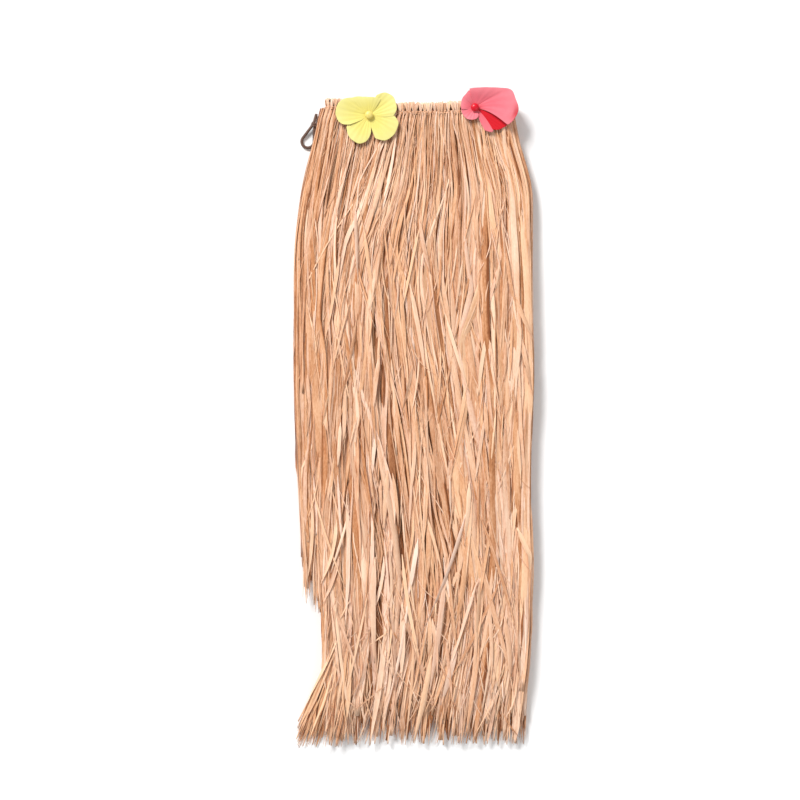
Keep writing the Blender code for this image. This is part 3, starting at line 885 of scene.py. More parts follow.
    def room(self) -> np.ndarray:
        """Work out how high the strands may lie over the form.

        Returns:
            The height at each row and cell of the bed.
        """
        cells, rows = self.bed.cells, self.bed.rows
        turn, down = np.meshgrid(np.arange(cells) / cells, np.arange(rows) * self.bed.step)
        _, outward = self.form.points(turn, np.clip(down, 0, self.form.reach - 0.001))
        up = outward[..., 2]
        top = 0.0026 + 0.0032 * ease((down - 0.03) / 0.12) - 0.0012 * ease((down - 0.52) / 0.1)
        side, foot = 0.0021, 0.0013
        return np.where(up > 0, side + (top - side) * ease(up), side + (foot - side) * ease(-up))

    def mesh_batches(self) -> None:
        """Press the pile into its room and make each batch's mesh."""
        self.bed.settle(self.room())
        for name, batch in self.batches.items():
            ribbons = Ribbons()
            for laid in batch:
                self.mesh_strip(ribbons, laid)
            self.pieces.append(ribbons.make(name))

    def mesh_strip(self, ribbons: Ribbons, laid: Laid) -> None:
        """Add the mesh of one laid strip.

        Args:
            ribbons: Where it goes.
            laid: The strip.
        """
        chance, down = self.chance, laid.down
        line, outward = self.form.points(laid.turn, down)
        pressed = laid.rise * self.bed.sample(self.bed.scale, laid.turn, down)
        pressed = np.maximum(pressed - laid.dive, 0.0)
        tilt = 0.30 * laid.width * np.abs(np.sin(laid.roll))
        line = line + outward * (pressed + tilt + self.thin / 2)[:, None]
        start = float(chance.uniform(0, 9))
        ripple = chance.uniform(0, 0.09) * np.sin(down * chance.uniform(30, 90) + start)
        # painted light makes the ribbons paler towards the hem, and painted shade darker near the left edge
        tone = laid.tone + ripple + self.hem_painted_light * ease((down - 0.42) / 0.15) - self.dusk(laid.turn, down)
        ribbons.add(line, outward, laid.width, laid.roll, laid.crease, self.thin, tone, laid.warmth, start,
                    laid.rim * self.rims(down))

    def dusk(self, turn: np.ndarray, down: np.ndarray) -> np.ndarray:
        """Work out how much darker the ribbons are as painted shade: most near the left edge, less towards
        the hem.

        Args:
            turn: Places round the form.
            down: Places down.

        Returns:
            What comes off the tone at each place.
        """
        near = 1 - ease((turn - 0.325) / 0.075)
        return self.left_dusk * near * ease(down / 0.10) * (1 - ease((down - 0.28) / 0.24))

    def rims(self, down: np.ndarray) -> np.ndarray:
        """Work out a strip's painted highlight and painted shade along its edges, as if they curled up into
        the light or down.

        Args:
            down: Places down.

        Returns:
            The left and right edge's value at each place.
        """
        waves = self.chance.uniform(25, 80, 2)
        phases = self.chance.uniform(0, math.tau, 2)
        middles = np.array([self.chance.uniform(-0.7, 0.6), self.chance.uniform(-1.1, 0.2)])
        return middles + 0.4 * np.sin(down[:, None] * waves + phases)

    def add_loose(
        self,
        ribbons: Ribbons,
        kind: LooseKind,
        places: tuple[np.ndarray, np.ndarray, np.ndarray],
        width: np.ndarray,
        roll: np.ndarray,
    ) -> None:
        """Add one loose strip.

        Args:
            ribbons: Where it goes.
            kind: Its look.
            places: Its places across, down and up.
            width: Its width at each place.
            roll: Its roll at each place.
        """
        x, down, z = places
        tone = float(np.clip(self.chance.normal(*kind.tone), 0, 1))
        start = float(self.chance.uniform(0, 9))
        crease = width * self.chance.normal(0, kind.crease)
        line = np.stack([x, self.form.line_y(x, down), z], axis=1)
        outward = unit(np.array(kind.outward))
        warmth = self.chance.uniform(*kind.warmth)
        ribbons.add(line, outward, width, roll, crease, self.thin, tone, warmth, start)

    def lay_flare(self, name: str, count: int) -> None:
        """Lay the bunch that swings out to the left corner of the hem.

        Args:
            name: The piece's name.
            count: How many strips it has.
        """
        ribbons, chance = Ribbons(), self.chance
        for _ in range(count):
            share = chance.random() ** 0.75
            down = np.arange(chance.uniform(0.520, 0.558), chance.uniform(0.604, 0.633), 0.005)
            slant = 0.03 + 0.40 * share + float(np.clip(chance.normal(0, 0.07), -0.12, 0.06))
            curl = max(chance.normal(0, 0.006), -0.004) * ease((down - 0.575) / 0.05)
            x = -0.0590 - 0.0275 * share - slant * (down - 0.552) + curl
            outside = np.flatnonzero(x < -0.1150 + 0.0025 * chance.random())
            if len(outside):
                down, x = down[:outside[0]], x[:outside[0]]
            inside = ease((x + 0.1080) / 0.022)
            roof = self.form.stack(down) * (0.55 + 0.45 * inside) + 0.0046 * inside
            z = np.maximum(chance.uniform(0.05, 1.06) * roof + chance.normal(0, 0.0010), LOWEST_MIDDLE)
            part = shares(down)
            width = (0.0006 + 0.0034 * chance.random() ** 1.4) * tapered(part, 0.25, 0.3, 0.7, 0.75)
            roll = chance.normal(0, 0.5) + part * chance.normal(0, 0.9)
            self.add_loose(ribbons, FLARING, (x, down, z), width, roll)
        self.pieces.append(ribbons.make(name))

    def lay_hanging(self, name: str, count: int) -> None:
        """Lay the few strips that hang apart from the others at the left edge, above the notch.

        Args:
            name: The piece's name.
            count: How many there are.
        """
        ribbons, chance = Ribbons(), self.chance
        for x_start in np.linspace(-0.1062, -0.0985, count):
            last = chance.uniform(0.470, 0.488) + 0.012 * float(ease((-0.1010 - x_start) / 0.004))
            down = np.arange(chance.uniform(0.395, 0.425), last, 0.004)
            part = shares(down)
            x = x_start + chance.normal(0, 0.0004) + chance.normal(0.0010, 0.0012) * part**2
            z = self.form.stack(down) * (0.94 - 0.24 * part) + chance.uniform(-0.0008, 0.0016)
            width = chance.uniform(0.0009, 0.0022) * tapered(part, 0.4, 0.2, 0.75, 0.7)
            roll = chance.normal(0, 0.3) + part * chance.normal(0, 0.6)
            self.add_loose(ribbons, HANGING, (x, down, z), width, roll)
        self.pieces.append(ribbons.make(name))

    def lay_wall(self, name: str, count: int) -> None:
        """Lay the strands that show at the side, where the shorter bunch has ended.

        Args:
            name: The piece's name.
            count: How many strips it has.
        """
        ribbons, chance = Ribbons(), self.chance
        for level in np.linspace(0.04, 0.97, count):
            down = np.arange(chance.uniform(0.425, 0.455), chance.uniform(0.575, 0.612), 0.006)
            part = shares(down)
            sway = chance.normal(0, 0.0009) * np.sin(math.tau * part * chance.uniform(0.5, 1.5))
            x = -0.0862 + chance.uniform(-0.0006, 0.0008) + sway - 0.25 * np.maximum(down - 0.570, 0)
            wave = chance.normal(0, 0.0012) * np.sin(math.tau * part)
            z = np.maximum(self.form.stack(down) * level + wave, LOWEST_MIDDLE)
            width = chance.uniform(0.0008, 0.0030) * tapered(part, 0.4, 0.2, 0.8, 0.6)
            roll = chance.normal(0, 0.25) + part * chance.normal(0, 0.3)
            self.add_loose(ribbons, SIDEWAYS, (x, down, z), width, roll)
        self.pieces.append(ribbons.make(name))

    def lay_hem(self, name: str, count: int) -> None:
        """Add the hidden layers' ends, which fill the skirt's depth at the hem.

        Args:
            name: The piece's name.
            count: How many are tried. Those that would fill the notch are left out.
        """
        ribbons, chance, form = Ribbons(), self.chance, self.form
        for _ in range(count):
            down = np.arange(chance.uniform(0.49, 0.55), chance.uniform(0.572, 0.631), 0.006)
            left, right = form.edges(down)
            across = chance.uniform(0.012, 0.988)
            sway = (down - 0.55) * chance.normal(0, 0.16)
            x = np.clip(left + across * (right - left) + sway, left + 0.001, right - 0.001)
            if np.any(x < form.notch_edge - 0.44 * np.maximum(down - 0.553, 0.0)):
                continue
            level = chance.uniform(0.03, 0.95)
            side = min(across, 1 - across) * (right - left)
            roof = form.stack(down) * (0.66 + 0.34 * ease(side / 0.02)) + 0.002
            curl = chance.normal(0, 0.0012) * ease((down - down[-1] + 0.03) / 0.03)
            z = np.maximum(level * roof + curl, LOWEST_MIDDLE)
            line = np.stack([x, form.line_y(x, down), z], axis=1)
            width = 0.0007 + 0.0026 * chance.random() ** 1.5
            width = width * (1 - 0.7 * ease((down - down[-1] + 0.02) / 0.02))
            roll = chance.normal(0, 0.45) + chance.normal(0, 0.6) * ease((down - 0.57) / 0.06)
            tone = float(np.clip(chance.normal(0.59, 0.16), 0, 1))
            start = float(chance.uniform(0, 9))
            warmth = chance.random() + 0.7 * float(ease(1 - side[-1] / 0.05))
            ribbons.add(line, UP, width, roll, width * 0.08, self.thin, tone, warmth, start)
        self.pieces.append(ribbons.make(name))

    def add_stray(self, ribbons: Ribbons, kind: StrayKind, settled: np.ndarray) -> None:
        """Add one split strip that lies askew on the front layer, unless it would cross the notch.

        Args:
            ribbons: Where it goes.
            kind: How it is cut and lies.
            settled: Heights of the pressed pile under it.
        """
        chance, girth, count = self.chance, self.form.girth, 14
        length = chance.uniform(*kind.length)
        start = chance.uniform(kind.start[0], min(kind.start[1], 0.630 - length))
        seat = chance.uniform(0.283, 0.717)
        part = np.linspace(0, 1, count)
        bend = chance.normal(0, kind.bend * (3.0 if chance.random() < 0.1 else 1.0))
        heading = chance.normal(0, kind.slant) + part * bend
        across = np.cumsum(np.sin(heading)) * length / count
        turn = np.clip(seat + across / girth, 0.264, 0.736)
        down = start + np.cumsum(np.cos(heading)) * length / count
        if self.notch_end(turn, down) < len(down):
            return
        widest = kind.width[0] + (kind.width[1] - kind.width[0]) * chance.random() ** 1.6
        width = widest * tapered(part, 0.2, 0.22, 0.62, 0.8)
        sides = np.array([-0.5, 0.0, 0.5])[:, None] * width / girth
        rise = highest(self.bed.sample(settled, turn + sides, np.tile(down, (3, 1))).max(axis=0), 1)
        line, outward = self.form.points(turn, down)
        arch = chance.uniform(0.0, 0.0010) * np.sin(math.pi * part) ** 2
        line = line + outward * (smoothed(rise, 2) + 0.0003 + 0.06 * width + arch)[:, None]
        roll = chance.normal(0, 0.30) + part * chance.normal(0, 0.5)
        tone = float(np.clip(chance.normal(kind.tone, 0.15), 0, 1))
        crease, warmth = width * chance.normal(0, 0.14), chance.random()
        fibre_start = float(chance.uniform(0, 9))
        ribbons.add(line, outward, width, roll, crease, 0.00026, tone, warmth, fibre_start)

    def add_strays(self, name: str, kinds: tuple[StrayKind, ...]) -> None:
        """Add the split strips and fine fibres that lie askew on the front layer.

        Args:
            name: The piece's name.
            kinds: The lots of them.
        """
        ribbons = Ribbons()
        settled = self.bed.height * self.bed.scale
        for kind in kinds:
            for _ in range(kind.count):
                self.add_stray(ribbons, kind, settled)
        self.pieces.append(ribbons.make(name))

    def build(self) -> None:
        """Lay every batch, from the deepest to the stray fibres on top."""
        for name, kinds in BATCHES.items():
            self.lay_batch(name, kinds)
        self.mesh_batches()
        self.lay_hem("raffia_hem", 620)
        self.lay_flare("raffia_flare", 260)
        self.lay_hanging("raffia_hanging", 7)
        self.lay_wall("raffia_wall", 60)
        self.add_strays("raffia_strays", STRAYS)


class NodeSheet:
    """A material being put together, node by node."""

    def __init__(self, name: str) -> None:
        """Start a material with its shader.

        Args:
            name: The material's name.
        """
        self.material = bpy.data.materials.new(name)
        self.material.use_nodes = True
        self.tree = self.material.node_tree
        self.shader = self.tree.nodes["Principled BSDF"]

    def fill(self, socket: Socket, value: Socket | float | Triple) -> None:
        """Join a socket to another one, or set its own value.

        Args:
            socket: The input.
            value: What it gets.
        """
        if isinstance(value, Socket):
            self.tree.links.new(value, socket)
        elif socket.type == "RGBA":
            socket.default_value = (*value, 1)
        else:
            socket.default_value = value

    def add(self, kind: str, **inputs: Socket | float | Triple) -> bpy.types.Node:
        """Add a node.

        Args:
            kind: Its type.
            inputs: Values of its inputs, by their names.

        Returns:
            The node.
        """
        node = self.tree.nodes.new(kind)
        for label, value in inputs.items():
            self.fill(node.inputs[label], value)
        return node

    def attribute(self, name: str) -> Socket:
        """Read one of the mesh's own vector attributes.

        Args:
            name: Its name.

        Returns:
            Its value.
        """
        node = self.add("ShaderNodeAttribute")
        node.attribute_name = name
        return node.outputs["Vector"]

    def parts(self, vector: Socket) -> tuple[Socket, ...]:
        """Return the three values of a vector."""
        return tuple(self.add("ShaderNodeSeparateXYZ", Vector=vector).outputs)

    def object_place(self) -> Socket:
        """Return the place on the object."""
        return self.add("ShaderNodeTexCoord").outputs["Object"]

    def stretched(self, place: Socket, scale: Triple) -> Socket:
        """Return a place scaled by one factor for each axis."""
        return self.add("ShaderNodeMapping", Vector=place, Scale=scale).outputs["Vector"]

    def noise(self, place: Socket, scale: Triple, detail: float) -> Socket:
        """Add a noise pattern.

        Args:
            place: Where it is read.
            scale: Its waves to the metre along each axis.
            detail: Its octaves.

        Returns:
            Its value, about 0.5 on average.
        """
        place = self.stretched(place, scale)
        return self.add("ShaderNodeTexNoise", Vector=place, Scale=1.0, Detail=detail).outputs["Fac"]

    def math(self, operation: str, *values: Socket | float) -> Socket:
        """Work out one value from others.

        Args:
            operation: What is done with them.
            values: The values.

        Returns:
            The result.
        """
        node = self.add("ShaderNodeMath")
        node.operation = operation
        for socket, value in zip(node.inputs, values):
            self.fill(socket, value)
        return node.outputs[0]

    def scaled(self, value: Socket, factor: float, shift: float = 0.0) -> Socket:
        """Return a value times a factor, plus a shift."""
        return self.math("MULTIPLY_ADD", value, factor, shift)

    def ramp(self, value: Socket, stops: tuple[tuple[float, Colour], ...]) -> Socket:
        """Turn a value into a colour.

        Args:
            value: The value.
            stops: Pairs of a value and its colour, the lowest first.

        Returns:
            The colour.
        """
        node = self.add("ShaderNodeValToRGB", Fac=value)
        elements = node.color_ramp.elements
        while len(elements) < len(stops):
            elements.new(0.5)
        for element, (at, colour) in zip(elements, stops):
            element.position = at
            element.color = (*colour, 1)
        return node.outputs["Color"]

    def mix(self, share: Socket, one: Socket | Colour, other: Socket | Colour, way: str = "MIX") -> Socket:
        """Mix two colours.

        Args:
            share: How much of the second one, held between 0 and 1.
            one: The first colour.
            other: The second colour.
            way: "MULTIPLY" multiplies the first by the second instead, so that dark places stay dark.

        Returns:
            The mixed colour.
        """
        node = self.add("ShaderNodeMix")
        node.data_type = "RGBA"
        node.blend_type = way
        node.clamp_factor = True
        for at, value in ((0, share), (6, one), (7, other)):
            self.fill(node.inputs[at], value)
        return node.outputs[2]

    def bump(self, height: Socket, distance: float, strength: float) -> None:
        """Raise the surface by a pattern.

        Args:
            height: The pattern.
            distance: How high it is, in metres.
            strength: How much of it shows.
        """
        node = self.add("ShaderNodeBump", Height=height, Distance=distance, Strength=strength)
        self.fill(self.shader.inputs["Normal"], node.outputs["Normal"])

    def finish(self, colour: Socket, roughness: float, specular: float, sheen: float) -> bpy.types.Material:
        """Set what the shader needs besides its patterns.

        Args:
            colour: Its colour.
            roughness: Its roughness.
            specular: How much it shines.
            sheen: Its soft shine at grazing angles.

        Returns:
            The material.
        """
        labels = ("Base Color", "Roughness", "Specular IOR Level", "Sheen Weight")
        for label, value in zip(labels, (colour, roughness, specular, sheen)):
            self.fill(self.shader.inputs[label], value)
        return self.material


@dataclass(frozen=True)
class RaffiaFinish:
    """Split palm leaf: dry ribbons with fine fibres along them, no two of quite the same straw colour."""

    name: str = "raffia_ribbon"
    stops: tuple[tuple[float, Colour], ...] = (
        # the darkest stop is reached mostly by the deep layers and the core, whose darkness is painted
        # shade
        (0.00, (0.215, 0.062, 0.014)),
        (0.26, (0.500, 0.208, 0.085)),
        (0.52, (0.73, 0.415, 0.250)),
        (0.92, (0.90, 0.630, 0.455)),
    )
    warm: Colour = (1.06, 0.91, 0.60)  # what the warmest straw's colour is multiplied by
    rosy: Colour = (1.09, 1.26, 1.65)  # and the greyest one's

    def build(self) -> bpy.types.Material:
        """Make the material, which reads each strip's "fibre" and "shade" attributes.

        Returns:
            The material.
        """
        sheet = NodeSheet(self.name)
        fibre = sheet.attribute("fibre")
        tone, warmth, rim = sheet.parts(sheet.attribute("shade"))
        lines = sheet.noise(fibre, (2600, 50, 1), 3.0)
        blotch = sheet.noise(fibre, (420, 48, 1), 3.0)
        mottle = sheet.noise(fibre, (1100, 300, 1), 2.0)
        for pattern, reach in ((lines, 0.42), (blotch, 0.46), (mottle, 0.42)):
            tone = sheet.math("ADD", tone, sheet.scaled(pattern, reach, -reach / 2))
        # the rim value adds painted highlights and painted shade along the strips' edges
        tone = sheet.math("ADD", tone, sheet.scaled(sheet.math("POWER", rim, 3.0), 0.55))
        colour = sheet.ramp(tone, self.stops)
        colour = sheet.mix(sheet.scaled(warmth, 0.66, -0.32), colour, self.warm, "MULTIPLY")
        colour = sheet.mix(sheet.scaled(warmth, -1.1, 0.34), colour, self.rosy, "MULTIPLY")
        sheet.bump(lines, 0.00022, 0.6)
        return sheet.finish(colour, roughness=0.5, specular=0.38, sheen=0.08)


@dataclass(frozen=True)
class ClothFinish:
    """Satin petal cloth with pressed veins, paler at its edge, with a deeper colour as painted shade near
    the middle, over a shaded petal and under a turned rim.
    """

    name: str
    colour: Colour
    painted_shade_colour: Colour
    rim: Colour

    def build(self) -> bpy.types.Material:
        """Make the material, which reads the petals' "petal" attribute.

        Returns:
            The material.
        """
        sheet = NodeSheet(self.name)
        petal = sheet.attribute("petal")
        _, outward, shade = sheet.parts(petal)
        weave = sheet.noise(sheet.object_place(), (3600, 3600, 3600), 1.0)
        blotch = sheet.noise(sheet.object_place(), (160, 160, 160), 2.0)
        veins = sheet.noise(petal, (24, 1.2, 1), 2.0)
        pale = sheet.math("ADD", sheet.scaled(outward, 0.9, -0.35), sheet.scaled(blotch, 0.5, -0.25))
        colour = sheet.mix(pale, self.colour, self.rim)
        # painted shade: the deeper colour near the middle, over a shaded petal and under a turned rim
        colour = sheet.mix(shade, colour, self.painted_shade_colour)
        sheet.bump(sheet.math("ADD", sheet.scaled(weave, 0.35), veins), 0.00016, 0.5)
        return sheet.finish(colour, roughness=0.52, specular=0.3, sheen=0.12)


@dataclass(frozen=True)
class CordFinish:
    """Dark twisted cord, with a faint twill along its length."""

    name: str
    dark: Colour
    pale: Colour

    def build(self) -> bpy.types.Material:
        """Make the material, which reads the cord's "fibre" attribute: round it and along it.

        Returns:
            The material.
        """
        sheet = NodeSheet(self.name)
        place = sheet.stretched(sheet.attribute("fibre"), (1.0, 520, 0))
        ply = sheet.add("ShaderNodeTexWave", Vector=place, Scale=1.0, Distortion=1.2)
        ply.wave_type = "BANDS"
        ply.bands_direction = "DIAGONAL"
        fuzz = sheet.noise(sheet.object_place(), (2200, 2200, 2200), 2.0)
        tone = sheet.math("ADD", sheet.scaled(ply.outputs["Fac"], 0.7), sheet.scaled(fuzz, 0.6, -0.15))
        sheet.bump(tone, 0.0004, 0.7)
        colour = sheet.ramp(tone, ((0.1, self.dark), (0.9, self.pale)))
        return sheet.finish(colour, roughness=0.72, specular=0.3, sheen=0.3)


@dataclass(frozen=True)
class BeadFinish:
    """Glossy moulded plastic with a slightly uneven skin."""

    name: str
    colour: Colour

    def build(self) -> bpy.types.Material:
        """Make the material.

        Returns:
            The material.
        """
        sheet = NodeSheet(self.name)
        ripple = sheet.noise(sheet.object_place(), (420, 420, 420), 2.0)
        deep = tuple(0.8 * part for part in self.colour)
        sheet.bump(ripple, 0.0002, 0.25)
        colour = sheet.ramp(ripple, ((0.25, deep), (0.7, self.colour)))
        return sheet.finish(colour, roughness=0.34, specular=0.4, sheen=0.0)


@dataclass
class PackedCore:
    """The mass of raffia inside the folded skirt, which shows only between strands; its dark tone is
    painted shade for their depth.
    """

    form: SkirtForm
    start: float = 0.010
    end: float = 0.566
    rows: int = 70
    columns: int = 260
    depth: float = 0.0009  # how far its skin lies inside the form
    ridge: float = 0.0005
    look: Triple = (0.12, 0.4, 0.0)  # its tone, warmth and rim; the dark tone is painted shade

    def build(self) -> bpy.types.Object:
        """Make the core: a closed body along the form with soft lengthwise ridges.

        Returns:
            The core.
        """
        turns, downs = np.arange(self.columns) / self.columns, np.linspace(self.start, self.end, self.rows)
        turn, down = np.meshgrid(turns, downs)
        points, outward = self.form.points(turn, down)
        ridges = np.sin(turn * math.tau * 61 + 3 * np.sin(down * 19))
        ridges = ridges * np.sin(turn * math.tau * 37 - down * 11)
        points = points - outward * (self.depth + self.ridge * ridges)[..., None]
        notch = -0.114 + 0.029 * ease((down - 0.405) / 0.035)
        points[..., 0] = np.maximum(points[..., 0], notch)
        number = np.arange(self.rows * self.columns).reshape(self.rows, self.columns)
        after = np.roll(number, -1, axis=1)
        quads = np.stack([number[:-1], number[1:], after[1:], after[:-1]], axis=-1).reshape(-1, 4).tolist()
        core = link_mesh("raffia_core", points, [*quads, number[0].tolist(), number[-1][::-1].tolist()])
        add_vectors(core.data, "fibre", np.stack([turn * self.form.girth, down, 0 * turn], axis=-1))
        add_vectors(core.data, "shade", np.tile(self.look, (turn.size, 1)))
        return core


class TubeBatch:
    """Closed tubes gathered into one mesh, with the attributes that raffia and cord read."""

    def __init__(self) -> None:
        """Start with no tubes."""
        self.points: list[np.ndarray] = []
        self.faces: list[list[int]] = []
        self.fibre: list[np.ndarray] = []
        self.shade: list[np.ndarray] = []
        self.total = 0

    def add(
        self, line: np.ndarray, wide: np.ndarray, up: np.ndarray, sides: int, tone: float, start: float
    ) -> None:
        """Add one tube.

        Args:
            line: Its middle points.
            wide: Its half width at each point, as a vector.
            up: Its half height at each point, as a vector.
            sides: How many sides it has.
            tone: How pale it is.
            start: Where its pattern starts.
        """
        angle = math.tau * np.arange(sides)[None, :, None] / sides
        ring = np.cos(angle) * wide[:, None, :] + np.sin(angle) * up[:, None, :]
        number = self.total + np.arange(len(line) * sides).reshape(len(line), sides)
        after = np.roll(number, -1, axis=1)
        quads = np.stack([number[:-1], after[:-1], after[1:], number[1:]], axis=-1)
        self.faces += quads.reshape(-1, 4).tolist()
        self.faces += [number[0][::-1].tolist(), number[-1].tolist()]
        girth = np.linalg.norm(wide[0]) * math.tau
        around = np.tile(np.arange(sides) / sides * girth, (len(line), 1)) + 5 * start
        along = np.repeat((reached(line) + start)[:, None], sides, axis=1)
        self.points.append((line[:, None, :] + ring).reshape(-1, 3))
        self.fibre.append(np.stack([around, along, np.full_like(around, start)], axis=-1).reshape(-1, 3))
        self.shade.append(np.tile([tone, (start * 7) % 1, 0.3], (number.size, 1)))
        self.total += number.size

    def make(self, name: str) -> bpy.types.Object:
        """Make the tubes into one object.

        Args:
            name: The object's name.

        Returns:
            The object.
        """
        obj = link_mesh(name, np.concatenate(self.points), self.faces)
        add_vectors(obj.data, "fibre", np.concatenate(self.fibre))
        add_vectors(obj.data, "shade", np.concatenate(self.shade))
        return obj


@dataclass
class WaistBand:
    """The panel's twined waist: bunches of raffia bent over a cord, in four layers joined by folds."""

    form: SkirtForm
    chance: np.random.Generator
    front_height: float = 0.0160
    layer_heights: tuple[float, ...] = (0.0107, 0.0068, 0.0029)
    cord_down: float = 0.0046
    cord_radius: float = 0.0011
    pitch: float = 0.0034  # from one bunch to the next
    strands: int = 3
    strand_height: float = 0.00046
    bend_radius: float = 0.00205
    front_bend_radius: float = 0.0027
    leg: float = 0.0094  # how far a bunch's legs reach
    bound: float = 0.0060  # and where they are bound
    yarn_rows: tuple[float, ...] = (0.0062, 0.0078)
    yarn_step: float = 0.0008

    def route(self, spacing: float) -> tuple[np.ndarray, np.ndarray, np.ndarray]:
        """Follow the waist through its four layers, as accordion folds.

        Args:
            spacing: The distance between points.

        Returns:
            Points on the cord's line, the directions out of the band's face, and the size of its bends.
        """
        levels = (self.front_height, *self.layer_heights)
        left = float(self.form.read("left", 0.004)) + 0.0028
        right = float(self.form.read("right", 0.004)) - 0.0028
        xs, zs = [], []
        for i, level in enumerate(levels):
            reach = np.arange(left, right, spacing)
            xs.append(reach if i % 2 == 0 else reach[::-1])
            zs.append(np.full(len(reach), level))
            if i < len(levels) - 1:
                radius = (level - levels[i + 1]) / 2
                angle = np.linspace(0.35, math.pi - 0.35, 3)
                edge, way = (right, 1) if i % 2 == 0 else (left, -1)
                xs.append(edge + way * radius * np.sin(angle))
                zs.append(level - radius + radius * np.cos(angle))
        x, z = np.concatenate(xs), np.concatenate(zs)
        along = np.concatenate(([0], np.cumsum(np.hypot(np.diff(x), np.diff(z)))))
        even = np.arange(0, along[-1], spacing)
        x, z = np.interp(even, along, x), np.interp(even, along, z)
        line = np.stack([x, self.form.line_y(x, np.full(len(x), self.cord_down)), z], axis=1)
        face = unit(np.cross(unit(np.gradient(line, axis=0)), WAISTWARD))
        depth = ease((z - self.layer_heights[0]) / (self.front_height - self.layer_heights[0]))
        return line, face, self.bend_radius + (self.front_bend_radius - self.bend_radius) * depth

    def build_heads(self) -> bpy.types.Object:
        """Make the bunches, each of a few strands bent over the cord.

        Returns:
            The bunches.
        """
        line, face, bend = self.route(self.pitch)
        batch, chance = TubeBatch(), self.chance
        angles = np.radians([-90, -55, -20, 15, 50, 90])
        for i in range(1, len(line) - 1):
            run = unit(line[i + 1] - line[i - 1])
            tone = float(chance.normal(0.70, 0.13))
            lean = chance.normal(0, 0.13)
            size = chance.uniform(0.80, 1.18)
            stand = chance.normal(0, 0.00028)
            for k in range(self.strands):
                radius = bend[i] * size * chance.uniform(0.84, 1.10)
                offset = (k - (self.strands - 1) / 2) / self.strands * self.pitch * 0.98
                offset += chance.normal(0, 0.00010)
                arc = [(radius * math.cos(a), radius * math.sin(a)) for a in angles]
                legs = [(-self.leg, 0.55 * radius), (-self.bound, 0.76 * radius), (-0.0030, 0.94 * radius)]
                ahead, out = np.array([*[(back, -out) for back, out in legs], *arc, *reversed(legs)]).T
                ahead = ahead + stand + chance.normal(0, 0.00025)
                squeeze = 1 - 0.46 * np.exp(-(((ahead + self.bound) / 0.0020) ** 2))
                middle = line[i] + run * (offset * squeeze + lean * ahead)[:, None]
                middle = middle + WAISTWARD * ahead[:, None] + face[i] * out[:, None]
                middle[:, 2] = np.maximum(middle[:, 2], 0.0007)
                up = np.cross(run, unit(np.gradient(middle, axis=0))) * self.strand_height
                wide = run * (squeeze * self.pitch * 0.165 * chance.uniform(0.8, 1.15))[:, None]
                own_tone = float(np.clip(tone + chance.normal(0, 0.12), 0, 1))
                batch.add(middle, wide, up, 6, own_tone, chance.uniform(0, 9))
        return batch.make("waist_loops")

    def build_twining(self) -> bpy.types.Object:
        """Make the yarns that wind between the bunches, two in a row, one over as the other goes under.

        Returns:
            The yarns.
        """
        line, face, bend = self.route(self.yarn_step)
        along = np.arange(len(line)) * self.yarn_step
        run = unit(np.gradient(line, axis=0))
        batch = TubeBatch()
        for row, back in enumerate(self.yarn_rows):
            for phase in (0.0, math.pi):
                swing = math.pi * along / self.pitch + phase + row * 0.6
                out = face * (np.cos(swing) * (bend * 0.80 + 0.0005))[:, None]
                yarn = line + WAISTWARD * (0.00045 * np.sin(swing) - back)[:, None] + out
                yarn[:, 2] = np.maximum(yarn[:, 2], 0.0009)
                heading = unit(np.gradient(yarn, axis=0))
                wide = unit(np.cross(heading, face + 0.01 * run)) * 0.00062
                up = unit(np.cross(wide, heading)) * 0.00055
                batch.add(yarn, wide, up, 6, 0.50, self.chance.uniform(0, 9))
        return batch.make("waist_twining")

    def build_cord(self) -> bpy.types.Object:
        """Make the drawstring inside the bunches.

        Returns:
            The drawstring.
        """
        line, face, _ = self.route(0.0025)
        side = unit(np.cross(unit(np.gradient(line, axis=0)), face))
        batch = TubeBatch()
        batch.add(line, side * self.cord_radius, face * self.cord_radius, 10, 0.4, 0.0)
        return batch.make("drawstring")


@dataclass(frozen=True)
class Petal:
    """One petal. Its rim is listed as bearings in degrees and reaches in millimetres from the middle."""

    rim: tuple[tuple[float, float], ...]
    start: float
    lift: float
    base: tuple[float, float] = (12.0, 12.0)
    ruffle: float = 0.0005
    # deep and curl are painted shade: deep darkens a whole petal that lies in shade, curl a rim that is
    # turned under
    deep: float = 0.0
    curl: float | None = None

    def outline(self) -> tuple[np.ndarray, np.ndarray]:
        """Return the rim's bearings in degrees and its reaches in metres."""
        bearings, reaches = np.array(self.rim, dtype=float).T
        return bearings, reaches / 1000


